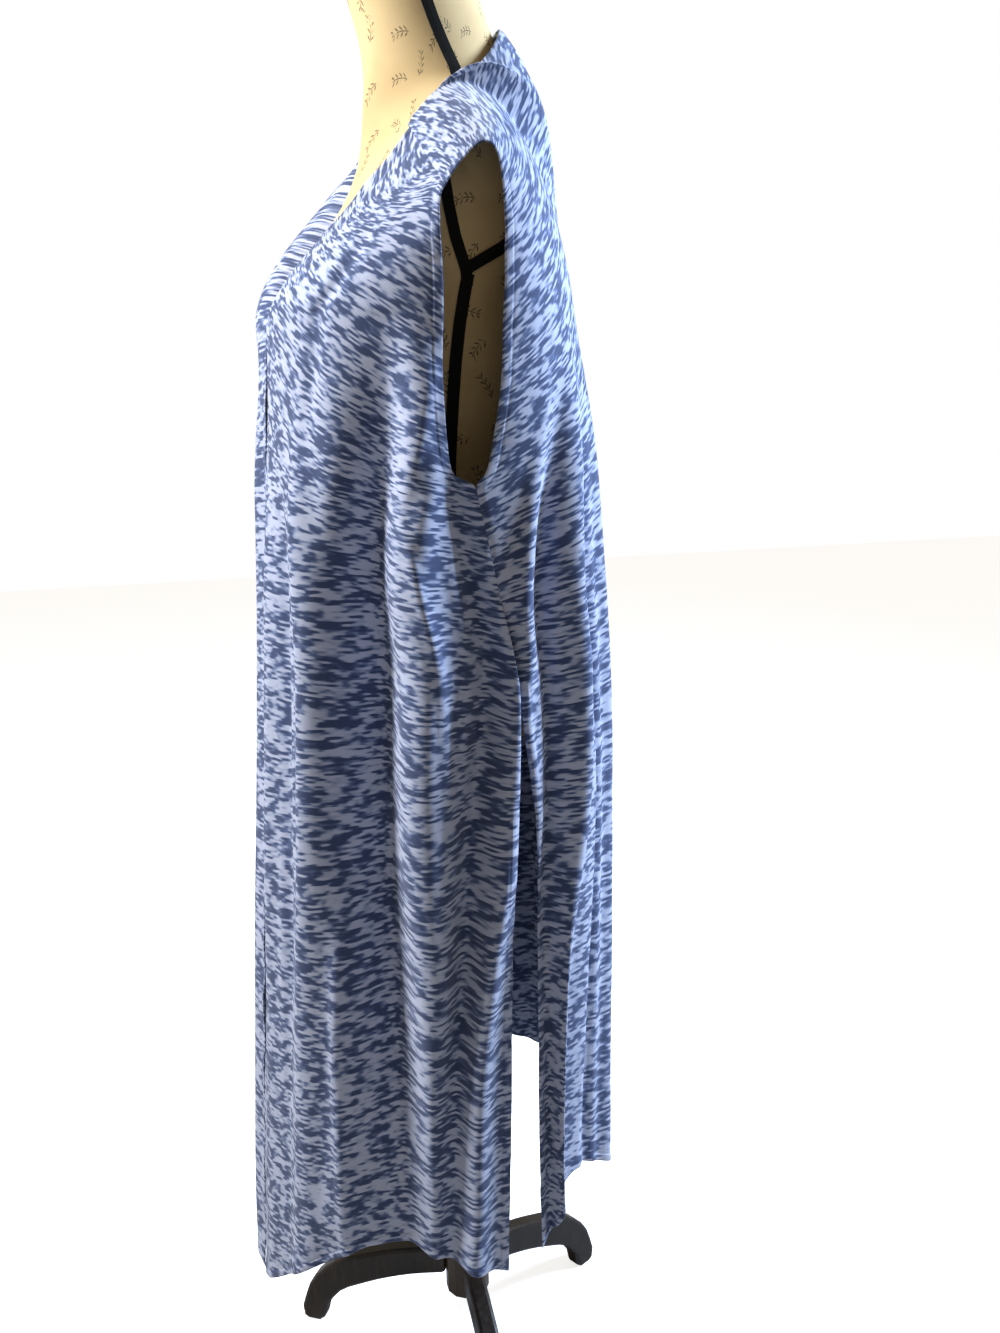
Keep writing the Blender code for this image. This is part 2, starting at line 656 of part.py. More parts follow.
def leg_mesh_points():
    """The outline of a leg in its own plane, round from the hub over the top to the foot."""
    top = curve_through(LEG_TOP, 14)
    bottom = curve_through(LEG_BOTTOM, 12)
    return np.vstack([top, np.array(LEG_FOOT), bottom])


def make_leg(name, turn, material):
    outline = leg_mesh_points()
    count = len(outline)
    points = [(r, y, z) for y in (-LEG_WIDTH / 2, LEG_WIDTH / 2) for r, z in outline]
    faces = [tuple(range(count)), tuple(range(count, 2 * count))]
    faces += [(i, (i + 1) % count, count + (i + 1) % count, count + i) for i in range(count)]
    leg = make_object(name, points, faces, material)
    leg.rotation_euler = (0, 0, turn)
    bevel = leg.modifiers.new("rounded_edges", "BEVEL")
    bevel.width = LEG_BEVEL
    bevel.segments = 2
    bevel.limit_method = "ANGLE"
    bevel.angle_limit = math.radians(60)
    return leg


def make_stand():
    wood = make_material("stand_wood", WOOD_COLOUR, 0.4)
    make_prism("stand_hub", HUB_SIDES, HUB_FLAT, HUB_BOTTOM_Z, HUB_TOP_Z, FOOT_TURN, wood)
    pole_top = TORSO_RINGS[-1].z - SEAM_GAP
    pole_bottom = HUB_TOP_Z + SEAM_GAP
    make_prism("stand_pole", POLE_SIDES, POLE_RADIUS, pole_bottom, pole_top, 0.0, wood.copy())
    for i in range(3):
        make_leg("stand_leg_%d" % (i + 1), FOOT_TURN + 2 * math.pi * i / 3, wood.copy())


# ---- the whole

def clear_scene():
    for piece in list(bpy.data.objects):
        bpy.data.objects.remove(piece, do_unlink=True)


def centre_part():
    """Moves every piece so that the part's box stands centred over the origin."""
    bpy.context.view_layer.update()
    depsgraph = bpy.context.evaluated_depsgraph_get()
    points = []
    for piece in bpy.data.objects:
        shape = piece.evaluated_get(depsgraph).to_mesh()
        points += [piece.matrix_world @ vertex.co for vertex in shape.vertices]
    points = np.array(points)
    middle = (points.min(axis=0) + points.max(axis=0)) / 2
    for piece in bpy.data.objects:
        piece.location.x -= middle[0]
        piece.location.y -= middle[1]


clear_scene()
make_cardigan()
make_form()
make_stand()
centre_part()
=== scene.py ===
import bpy
import bmesh
import math
import numpy as np
from mathutils import Matrix, Vector, noise


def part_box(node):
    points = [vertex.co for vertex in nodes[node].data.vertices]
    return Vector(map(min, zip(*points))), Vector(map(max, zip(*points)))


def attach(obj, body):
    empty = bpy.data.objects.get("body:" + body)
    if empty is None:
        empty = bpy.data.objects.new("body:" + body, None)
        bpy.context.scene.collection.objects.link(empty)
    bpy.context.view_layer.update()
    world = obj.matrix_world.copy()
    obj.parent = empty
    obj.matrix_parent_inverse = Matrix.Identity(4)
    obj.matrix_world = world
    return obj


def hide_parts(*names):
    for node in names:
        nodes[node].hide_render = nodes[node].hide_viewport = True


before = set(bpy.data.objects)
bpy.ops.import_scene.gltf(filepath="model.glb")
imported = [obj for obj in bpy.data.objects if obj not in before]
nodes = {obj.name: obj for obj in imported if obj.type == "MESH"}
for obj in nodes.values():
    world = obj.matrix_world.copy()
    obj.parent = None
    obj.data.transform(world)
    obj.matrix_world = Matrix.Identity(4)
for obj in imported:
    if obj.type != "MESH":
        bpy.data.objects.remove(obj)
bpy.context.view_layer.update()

# The cardigan, the form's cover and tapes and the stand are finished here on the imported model.
# Metres, +Z up, the wearer faces -Y. The tables are about the pole's axis, which poleShift places.

poleLow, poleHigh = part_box("stand_pole")
poleShift = np.array([(poleLow.x + poleHigh.x) / 2, (poleLow.y + poleHigh.y) / 2, 0.0])


def smoothStep(t):
    t = np.clip(t, 0.0, 1.0)
    return t * t * (3 - 2 * t)


def tableAt(rows, keys):
    # the rows' other columns at each key, on smooth curves that don't swing past the rows
    table = np.array(rows, dtype=float)
    if table[0, 0] > table[-1, 0]:
        table = table[::-1]
    at = table[:, 0]
    keys = np.clip(np.atleast_1d(np.asarray(keys, dtype=float)), at[0], at[-1])
    steps = np.diff(table, axis=0) / np.diff(at)[:, None]
    slopes = np.vstack([steps[:1], np.zeros_like(steps[1:]), steps[-1:]])
    before, after = steps[:-1], steps[1:]
    agree = before * after > 0
    slopes[1:-1][agree] = (2 * before * after)[agree] / (before + after)[agree]
    i = np.clip(np.searchsorted(at, keys, side="right") - 1, 0, len(at) - 2)
    step = (at[i + 1] - at[i])[:, None]
    t = (keys - at[i])[:, None] / step
    first = (2 * t**3 - 3 * t**2 + 1) * table[i] + (t**3 - 2 * t**2 + t) * step * slopes[i]
    last = (3 * t**2 - 2 * t**3) * table[i + 1] + (t**3 - t**2) * step * slopes[i + 1]
    return (first + last)[:, 1:]


cloth = {
    "rings": [   # z, half width, front, back, where the side lies, squareness
        (1.160, 0.191, -0.166, 0.122, -0.010, 2.4),
        (1.012, 0.196, -0.173, 0.141, -0.010, 2.4),
        (0.835, 0.190, -0.184, 0.147, 0.018, 2.4),
        (0.600, 0.180, -0.199, 0.150, 0.026, 2.4),
        (0.400, 0.172, -0.212, 0.153, 0.028, 2.4),
        (0.130, 0.165, -0.228, 0.157, 0.030, 2.4),
    ],
    "sideEdges": [   # z, front, back
        (1.160, -0.036, 0.016),
        (1.100, -0.039, 0.011),
        (1.045, -0.037, 0.001),
        (1.024, -0.033, -0.005),
        (1.012, -0.014, -0.014),
        (0.930, 0.003, 0.003),
        (0.835, 0.020, 0.020),
        (0.780, 0.019, 0.026),
        (0.700, 0.017, 0.036),
        (0.600, 0.014, 0.040),
        (0.400, 0.010, 0.038),
        (0.130, 0.000, 0.046),
    ],
    "yokeZ": 1.160,
    "armholeBottomZ": 1.012,
    "slitTopZ": 0.835,
    "hemZ": 0.220,
    "frontGap": 0.004,
    "leftShoulder": {"seamNeck": (0.072, -0.035, 1.327), "seamArm": (0.183, -0.030, 1.255),
                     "sag": 0.0, "neckSide": (0.0725, 0.004, 1.3672)},
    "rightShoulder": {"seamNeck": (0.063, -0.050, 1.352), "seamArm": (0.183, -0.030, 1.255),
                      "sag": 0.0126, "neckSide": (0.066, 0.002, 1.374)},
    "neckBack": (0.000, 0.069, 1.431),
    "neckRound": 1.8,
    "neckShare": 7 / 18,      # of the back's half width
    "seamRise": math.radians(56),
    "neckFall": math.radians(-38),
    "frontStart": (0.075, 0.016),
    "frontEnd": (0.050, 0.045),
    "backStart": (0.126, 0.087),
    "backEnd": (0.138, 0.120),
    "backNeckStart": 0.050,
    "frontHem": [(0.00, 0.156), (0.15, 0.184), (0.38, 0.235), (0.55, 0.261), (0.66, 0.261),
                 (0.80, 0.248), (1.00, 0.229)],
    "backHem": [(0.00, 0.276), (0.50, 0.296), (0.80, 0.321), (0.88, 0.314), (0.94, 0.255),
                (1.00, 0.241)],
    "thickness": 0.0013,
    "tiltEase": 0.10,        # the width over which level courses turn into falling ones
    "neckTrim": {   # z and the share of its width that each front loses at the neck, by side
        1: [(1.160, 0.0), (1.170, 0.035), (1.197, 0.105), (1.222, 0.100), (1.254, 0.045), (1.33, 0.04),
            (1.40, 0.02), (1.46, 0.0)],
        -1: [(1.160, 0.0), (1.190, 0.03), (1.230, 0.07), (1.280, 0.09), (1.330, 0.07), (1.40, 0.03),
             (1.46, 0.0)],
    },
    "turning": 0.0085,       # width of the turned and stitched edge
    "turningExtra": 0.0009,  # how much thicker the turned edge is
    "frontFlat": (0.36, 1.27),
    "backFlat": (0.62, 1.32),
    "frontWidth": 0.285,     # the widths that the columns are counted on
    "backHalfWidth": 0.250,
    "foldWidthZ": (1.160, 0.930, 0.835, 0.700, 0.500, 0.300),
    "lookupZ": (0.002, 0.12),   # how far above the yoke the rings are looked up, and the lowest height
    "lookupSteps": 520,
    "ringSteps": 160,
    "panelSteps": 161,
    "curveSteps": 80,
    "neckSteps": 9,
    "columnStep": 0.0036,
    "yokeRows": 58,
    "hangRows": 236,
}
edgeSteps = np.array([0.0, 0.0008, 0.0022, 0.0045, 0.0068, 0.0079, 0.0086, 0.0096, 0.0120])

# Folds, either as across at the top, half way and at the hem, width towards the centre and the side
# (one number where they are the same), height, and the heights where it starts, is full and ends,
# or as the two widths and a path of z, across and height
leftFrontFolds = [
    (0.10, 0.10, [(1.28, 0.00, 0.0), (1.22, 0.00, -0.008), (1.10, 0.00, -0.004), (1.00, 0.00, 0.0)]),
    (0.09, 0.08, [(1.06, 0.12, 0.0), (0.90, 0.13, 0.009), (0.70, 0.13, 0.009), (0.50, 0.12, 0.005),
                  (0.20, 0.12, 0.003)]),
    (0.05, 0.05, [(1.04, 0.24, 0.0), (0.88, 0.24, -0.008), (0.60, 0.25, -0.007), (0.45, 0.25, -0.004),
                  (0.20, 0.24, -0.002)]),
    (0.06, 0.11, [(1.08, 0.38, 0.0), (0.95, 0.37, 0.012), (0.70, 0.36, 0.013), (0.50, 0.34, 0.008),
                  (0.20, 0.33, 0.004)]),
    (0.195, 0.11, [(1.16, 0.80, 0.0), (1.10, 0.76, -0.010), (1.05, 0.72, -0.021), (0.91, 0.60, -0.039),
                  (0.78, 0.585, -0.044), (0.66, 0.60, -0.044), (0.53, 0.635, -0.039), (0.42, 0.67, -0.030),
                  (0.32, 0.69, -0.021), (0.22, 0.70, -0.015)]),
    (0.12, 0.09, [(1.16, 0.90, 0.0), (1.10, 0.89, 0.006), (1.05, 0.86, 0.010), (0.91, 0.765, 0.018),
                  (0.78, 0.745, 0.020), (0.66, 0.75, 0.019), (0.53, 0.775, 0.015), (0.42, 0.80, 0.010),
                  (0.25, 0.82, 0.004)]),
    (0.07, 0.06, [(1.08, 0.95, 0.0), (1.02, 0.94, -0.008), (0.91, 0.93, -0.014), (0.80, 0.91, -0.017),
                  (0.70, 0.88, -0.016), (0.60, 0.86, -0.015), (0.45, 0.835, -0.014), (0.25, 0.83, -0.012)]),
    (0.06, 0.07, [(0.92, 1.00, 0.0), (0.86, 1.00, 0.008), (0.80, 0.99, 0.014), (0.65, 0.96, 0.017),
                  (0.55, 0.92, 0.018), (0.45, 0.905, 0.018), (0.25, 0.90, 0.015)]),
    (0.022, 0.022, [(1.00, 0.76, 0.0), (0.95, 0.77, 0.004), (0.85, 0.785, 0.005), (0.75, 0.80, 0.004),
                    (0.68, 0.81, 0.0)]),
    (0.03, 0.05, [(0.62, 0.46, 0.0), (0.50, 0.47, 0.004), (0.36, 0.50, 0.004), (0.22, 0.52, 0.002)]),
    (0.04, 0.06, [(1.13, 0.98, 0.0), (1.08, 0.93, -0.004), (1.02, 0.84, -0.004), (0.97, 0.76, 0.0)]),
    (0.06, 0.07, [(1.24, 0.60, 0.0), (1.18, 0.56, -0.0035), (1.10, 0.48, -0.003), (1.03, 0.42, 0.0)]),
]
rightFrontFolds = [
    (0.07, 0.06, [(1.350, 0.00, 0.0), (1.338, 0.00, -0.012), (1.325, 0.00, -0.022), (1.300, 0.00, -0.026),
                  (1.280, 0.00, -0.024), (1.260, 0.00, -0.020), (1.240, 0.00, -0.016), (1.215, 0.00, -0.011),
                  (1.190, 0.00, -0.005), (1.165, 0.00, 0.0)]),
    (0.20, 0.16, 0.10, 0.20, 0.018, 1.350, 1.290, 1.08),
    (0.00, 0.00, 0.00, 0.10, -0.012, 1.300, 1.240, 1.08),
    (0.09, 0.10, 0.08, 0.09, 0.010, 1.180, 1.000, 0.00),
    (0.22, 0.24, 0.22, 0.06, -0.009, 1.080, 0.900, 0.00),
    (0.40, 0.36, 0.41, 0.08, 0.012, 1.120, 0.860, 0.00),
    (0.60, 0.52, 0.56, 0.11, -0.018, 1.180, 0.920, 0.00),
    (0.80, 0.70, 0.73, 0.09, 0.014, 1.140, 0.940, 0.00),
    (0.92, 0.88, 0.87, 0.06, -0.010, 1.000, 0.860, 0.00),
]
backFolds = [   # across runs from the right side edge, -1, to the left one, 1
    (0.05, 0.05, [(1.06, 0.86, 0.0), (0.95, 0.895, 0.006), (0.87, 0.94, 0.008), (0.80, 0.99, 0.008),
                  (0.70, 1.00, 0.004), (0.60, 1.00, 0.0)]),
    (0.06, 0.06, [(1.10, 0.76, 0.0), (1.02, 0.80, -0.008), (0.95, 0.82, -0.014), (0.87, 0.86, -0.015),
                  (0.80, 0.885, -0.014), (0.63, 0.95, -0.011), (0.45, 0.96, -0.009), (0.25, 0.95, -0.008)]),
    (0.06, 0.09, [(1.15, 0.66, 0.0), (1.05, 0.68, 0.007), (0.95, 0.70, 0.012), (0.87, 0.72, 0.013),
                  (0.80, 0.75, 0.013), (0.63, 0.83, 0.012), (0.45, 0.85, 0.011), (0.25, 0.84, 0.010)]),
    (0.05, 0.04, [(1.12, 0.58, 0.0), (1.00, 0.59, -0.005), (0.80, 0.61, -0.008), (0.60, 0.64, -0.008),
                  (0.25, 0.62, -0.008)]),
    (0.06, 0.06, [(1.15, 0.48, 0.0), (0.90, 0.47, 0.008), (0.60, 0.48, 0.009), (0.25, 0.50, 0.009)]),
    (0.26, 0.28, 0.24, 0.11, -0.016, 1.230, 0.900, 0.00),
    (0.06, 0.05, 0.07, 0.09, 0.012, 1.180, 0.820, 0.00),
    (-0.16, -0.17, -0.14, 0.09, -0.011, 1.200, 0.900, 0.00),
    (-0.36, -0.34, -0.38, 0.10, 0.013, 1.160, 0.840, 0.00),
    (-0.58, -0.55, -0.57, 0.09, -0.015, 1.200, 0.880, 0.00),
    (-0.78, -0.75, -0.74, 0.08, 0.012, 1.100, 0.860, 0.00),
    (-0.91, -0.90, -0.90, 0.06, -0.010, 0.980, 0.780, 0.00),
]

# the finer creases between the folds, laid out as the folds without a path are
rightFrontCreases = [
    (0.32, 0.30, 0.36, 0.05, 0.03, -0.008, 1.080, 0.900, 0.00),
    (0.50, 0.44, 0.48, 0.04, 0.07, 0.006, 1.120, 0.930, 0.00),
    (0.70, 0.62, 0.66, 0.06, 0.03, -0.009, 1.020, 0.860, 0.26),
    (0.86, 0.80, 0.82, 0.03, 0.06, 0.007, 1.090, 0.900, 0.00),
    (0.95, 0.93, 0.92, 0.04, 0.03, -0.006, 0.900, 0.760, 0.32),
    (0.15, 0.17, 0.15, 0.03, 0.04, 0.005, 0.860, 0.700, 0.00),
    (0.56, 0.58, 0.54, 0.04, 0.05, -0.004, 0.560, 0.440, 0.00),
]
backCreases = [
    (0.16, 0.17, 0.14, 0.05, 0.03, 0.006, 1.120, 0.860, 0.00),
    (-0.05, -0.04, -0.06, 0.03, 0.05, -0.006, 1.080, 0.840, 0.00),
    (-0.26, -0.27, -0.24, 0.05, 0.04, 0.006, 1.150, 0.900, 0.00),
    (-0.46, -0.44, -0.47, 0.03, 0.05, -0.007, 1.100, 0.880, 0.30),
    (-0.67, -0.66, -0.65, 0.05, 0.03, 0.006, 1.130, 0.860, 0.00),
    (-0.85, -0.83, -0.84, 0.03, 0.05, -0.007, 1.040, 0.820, 0.00),
    (-0.96, -0.97, -0.95, 0.03, 0.03, 0.005, 0.980, 0.800, 0.40),
]


def sideEdge(z, isFront):
    front, back = tableAt(cloth["sideEdges"], z).T
    onSeam = (z > cloth["slitTopZ"]) & (z < cloth["armholeBottomZ"])
    return np.where(onSeam, (front + back) / 2, front if isFront else back)


def planAngle(ring, y):
    half, front, back, side, square = ring
    if y < side:
        return math.acos(((side - y) / (side - front))**(square / 2))
    return math.pi - math.acos(((y - side) / (back - side))**(square / 2))


def ringTable(levels, isFront, across):
    rings = tableAt(cloth["rings"], levels)
    edges = sideEdge(levels, isFront)
    out = np.zeros((len(across), len(levels), 3))
    for k, ring in enumerate(rings):
        half, front, back, side, square = ring
        if isFront:
            first = math.asin((cloth["frontGap"] / half)**(square / 2))
        else:
            first = math.pi
        angle = np.linspace(first, planAngle(ring, edges[k]), cloth["ringSteps"])
        reach = np.where(angle < math.pi / 2, front - side, back - side)
        x = half * np.abs(np.sin(angle))**(2 / square)
        y = side + reach * np.abs(np.cos(angle))**(2 / square)
        length = np.append(0.0, np.cumsum(np.hypot(np.diff(x), np.diff(y))))
        out[:, k, 0] = np.interp(across * length[-1], length, x)
        out[:, k, 1] = np.interp(across * length[-1], length, y)
        out[:, k, 2] = levels[k]
    return out


def bezierRows(start, startHandle, endHandle, end, t):
    t = t[:, :, None]
    start, startHandle, endHandle, end = (p[:, None, :] for p in (start, startHandle, endHandle, end))
    return ((1 - t)**3 * start + 3 * t * (1 - t)**2 * startHandle
            + 3 * t**2 * (1 - t) * endHandle + t**3 * end)


def necklineStarts(shoulder, across):
    side, seam = np.array(shoulder["neckSide"]), np.array(shoulder["seamNeck"])
    reach = np.array(cloth["neckBack"]) - side
    angle = np.linspace(0, math.pi / 2, cloth["neckSteps"])
    rise = np.cos(angle)
    points = np.stack([side[0] * np.sin(angle), side[1] + reach[1] * rise,
                       side[2] + reach[2] * rise**cloth["neckRound"]], axis=1)
    points = np.vstack([points, (side + seam) / 2, seam])
    lengths = np.append(0.0, np.cumsum(np.linalg.norm(np.diff(points, axis=0), axis=1)))
    slopes = np.gradient(points, lengths, axis=0)
    s = np.clip(across, 0, 1) * lengths[-1]
    i = np.clip(np.searchsorted(lengths, s, side="right") - 1, 0, len(lengths) - 2)
    step = (lengths[i + 1] - lengths[i])[:, None]
    t = (s - lengths[i])[:, None] / step
    return ((2 * t**3 - 3 * t**2 + 1) * points[i] + (t**3 - 2 * t**2 + t) * step * slopes[i]
            + (3 * t**2 - 2 * t**3) * points[i + 1] + (t**3 - t**2) * step * slopes[i + 1])


def seamPoints(shoulder, t):
    start, end = np.array(shoulder["seamNeck"]), np.array(shoulder["seamArm"])
    points = start + (end - start) * t[:, None]
    points[:, 2] -= shoulder["sag"] * 4 * t * (1 - t)
    return points


def lineLengths(grid, axis):
    steps = np.linalg.norm(np.diff(grid, axis=axis), axis=2)
    first = np.zeros_like(np.take(grid[:, :, 0], [0], axis=axis))
    return np.concatenate([first, np.cumsum(steps, axis=axis)], axis=axis)


def yokeShares(start, startHandle, endHandle, end):
    # close rows along the turned or seamed top edge, then even ones
    fine = np.tile(np.linspace(0, 1, cloth["curveSteps"]), (len(start), 1))
    lengths = lineLengths(bezierRows(start, startHandle, endHandle, end, fine), 1)
    shares = np.zeros((len(start), cloth["yokeRows"] + len(edgeSteps) - 1))
    for i, length in enumerate(lengths):
        at = np.append(edgeSteps, np.linspace(edgeSteps[-1], length[-1], cloth["yokeRows"] + 1)[1:-1])
        shares[i] = np.interp(at, length, fine[i])
    return shares


def panelGrid(shoulder, isFront, across):
    above, lowest = cloth["lookupZ"]
    fine = np.linspace(cloth["yokeZ"] + above, lowest, cloth["lookupSteps"])
    lookup = ringTable(fine, isFront, across)
    yoke = ringTable(np.array([cloth["yokeZ"], cloth["yokeZ"] - 0.010]), isFront, across)
    end, below = yoke[:, 0], yoke[:, 1]
    upward = (end - below) / np.linalg.norm(end - below, axis=1)[:, None]
    if isFront:
        start = seamPoints(shoulder, across)
        angle = np.full(len(across), cloth["seamRise"])
        direction = -np.stack([np.zeros_like(angle), np.cos(angle), np.sin(angle)], axis=1)
        inner, outer = cloth["frontStart"]
        startReach = inner + (outer - inner) * across
        inner, outer = cloth["frontEnd"]
        endReach = inner + (outer - inner) * across
        hem = tableAt(cloth["frontHem"], across)[:, 0]
    else:
        neckShare = cloth["neckShare"]
        onNeck = across < neckShare
        outwards = np.clip((across - neckShare) / (1 - neckShare), 0, 1)
        turn = smoothStep(across / neckShare)
        start = np.where(onNeck[:, None], necklineStarts(shoulder, across / neckShare),
                         seamPoints(shoulder, outwards))
        angle = cloth["neckFall"] + (cloth["seamRise"] - cloth["neckFall"]) * turn
        direction = np.stack([np.zeros_like(angle), np.cos(angle), np.sin(angle)], axis=1)
        inner, outer = cloth["backStart"]
        onNeckReach = cloth["backNeckStart"] + (inner - cloth["backNeckStart"]) * turn
        startReach = np.where(onNeck, onNeckReach, inner + (outer - inner) * outwards)
        inner, outer = cloth["backEnd"]
        endReach = inner + (outer - inner) * outwards
        hem = tableAt(cloth["backHem"], across)[:, 0]
    startHandle = start + direction * startReach[:, None]
    endHandle = end + upward * endReach[:, None]
    shares = yokeShares(start, startHandle, endHandle, end)
    top = bezierRows(start, startHandle, endHandle, end, shares)
    levels = np.append(np.linspace(cloth["yokeZ"], cloth["hemZ"] + edgeSteps[-1], cloth["hangRows"]),
                       cloth["hemZ"] + edgeSteps[-2::-1])
    share = smoothStep((cloth["slitTopZ"] - levels) / (cloth["slitTopZ"] - cloth["hemZ"]))
    z = levels[None, :] + (hem - cloth["hemZ"])[:, None] * share[None, :]
    low = np.zeros((len(across), len(levels), 3))
    for i in range(len(across)):
        low[i, :, 0] = np.interp(-z[i], -fine, lookup[i, :, 0])
        low[i, :, 1] = np.interp(-z[i], -fine, lookup[i, :, 1])
    low[:, :, 2] = z
    return np.concatenate([top, low], axis=1)


def respaceColumns(grid, across, isFront):
    # columns at even arc lengths, with close ones along the free edges, and their share across
    lengths = lineLengths(grid, 0)
    nominal = cloth["frontWidth"] if isFront else cloth["backHalfWidth"]
    count = round(nominal / cloth["columnStep"])
    first = edgeSteps if isFront else np.array([0.0])
    out = np.zeros((len(first) + count - 1 + len(edgeSteps), grid.shape[1], 3))
    shares = np.zeros(out.shape[:2])
    for j in range(grid.shape[1]):
        total = lengths[-1, j]
        even = np.linspace(first[-1], total - edgeSteps[-1], count + 1)[1:-1]
        at = np.concatenate([first, even, total - edgeSteps[::-1]])
        for axis in range(3):
            out[:, j, axis] = np.interp(at, lengths[:, j], grid[:, j, axis])
        shares[:, j] = np.interp(at, lengths[:, j], across)
    return out, shares


def foldHeights(folds, across, z):
    total = np.zeros_like(z)
    for fold in folds:
        if len(fold) == 3:
            inner, outer, path = fold
            centre, height = (part.reshape(z.shape) for part in tableAt(path, z.ravel()).T)
        else:
            top, middle, bottom, inner = fold[:4]
            outer, height, start, full, end = fold[3:] if len(fold) == 8 else fold[4:]
            height = height * smoothStep((start - z) / (start - full))
            if end > 0:
                height = height * smoothStep((z - end) / (full - end))
            t = (start - z) / (start - cloth["hemZ"])
            centre = top + t * (4 * middle - 3 * top - bottom) + 2 * t * t * (top + bottom - 2 * middle)
        off = across - centre
        off = np.clip(np.where(off < 0, -off / inner, off / outer), 0, 1)
        total += height * 0.5 * (1 + np.cos(math.pi * off))
    return total


def clothNoise(u, v, seed):
    flat = [noise.noise(Vector((a, b, seed))) for a, b in zip(u.ravel(), v.ravel())]
    return np.array(flat).reshape(u.shape)


def gridNormals(grid):
    normals = np.cross(np.gradient(grid, axis=1), np.gradient(grid, axis=0))
    return normals / np.maximum(np.linalg.norm(normals, axis=2), 1e-12)[:, :, None]


jersey = {
    "broad": (14, 2.2, 0.0045),     # soft unevenness: how fine it is across and down, and its height
    "close": (38, 5, 0.0016),
    "yokeShare": 0.15,              # how much of it the yoke has
    "hangTop": 1.16,
    "hangEase": 0.30,
    "hemRipple": (26, 0.5, 0.006),
    "hemReach": 0.030,
    "edgeRipple": 30,
    "sideHeight": 0.0022,
    "frontHeight": 0.0016,
    "edgeReach": 0.016,
    "seamEase": 0.004,              # the height over which the side seam starts and ends
    "shoulderEase": 0.04,           # the same on the shoulder, as a share of the width
    "seamSink": 0.0011,
    "shoulderSink": 0.0009,
    "seamReach": 0.0035,
    "pucker": (150, 150, 0.0007),
    "puckerReach": 0.014,
    "seamPucker": 0.004,            # puckers by a sewn seam are as low as this far from a free edge
    "stitchInset": 0.0003,
    "stitchPinch": 0.00030,
    "stitchReach": 0.0005,
    "rimShare": 0.40,               # the share of its thickness that the wall has at its very edge
    "rimReach": 0.0022,
}


def bell(distance, reach):
    return np.exp(-(distance / reach)**2)


def unevenness(kind, u, v, seed):
    fineAcross, fineDown, height = jersey[kind]
    return clothNoise(u * fineAcross, v * fineDown, seed) * height


def trimNeck(grid, across, side):
    # the neck edge as it is worn lies a little further from the middle than the pattern's
    cut = tableAt(cloth["neckTrim"][side], grid[0, :, 2])[:, 0] * (grid[0, :, 2] > cloth["yokeZ"])
    for j in np.nonzero(cut > 0)[0]:
        at = cut[j] + (1 - cut[j]) * across
        grid[:, j] = np.stack([np.interp(at, across, grid[:, j, axis]) for axis in range(3)], axis=1)


def courseMap(u, v, z, yokeRow, isFront, side, tilt):
    # above the yoke the front narrows from its neck edge, so its courses are counted from the armhole
    along = np.where(z > cloth["yokeZ"], u[-1:, yokeRow] - (u[-1:] - u), u) if isFront else u
    fall = tableAt(tilt, v.ravel())[:, 0].reshape(v.shape)
    # the courses lie level at the front edge or the back's middle, then fall away evenly
    ease = cloth["tiltEase"]
    eased = np.where(along < ease, along**2 / (2 * ease), along - ease / 2)
    return np.stack([along * side, v + fall * eased], axis=2)


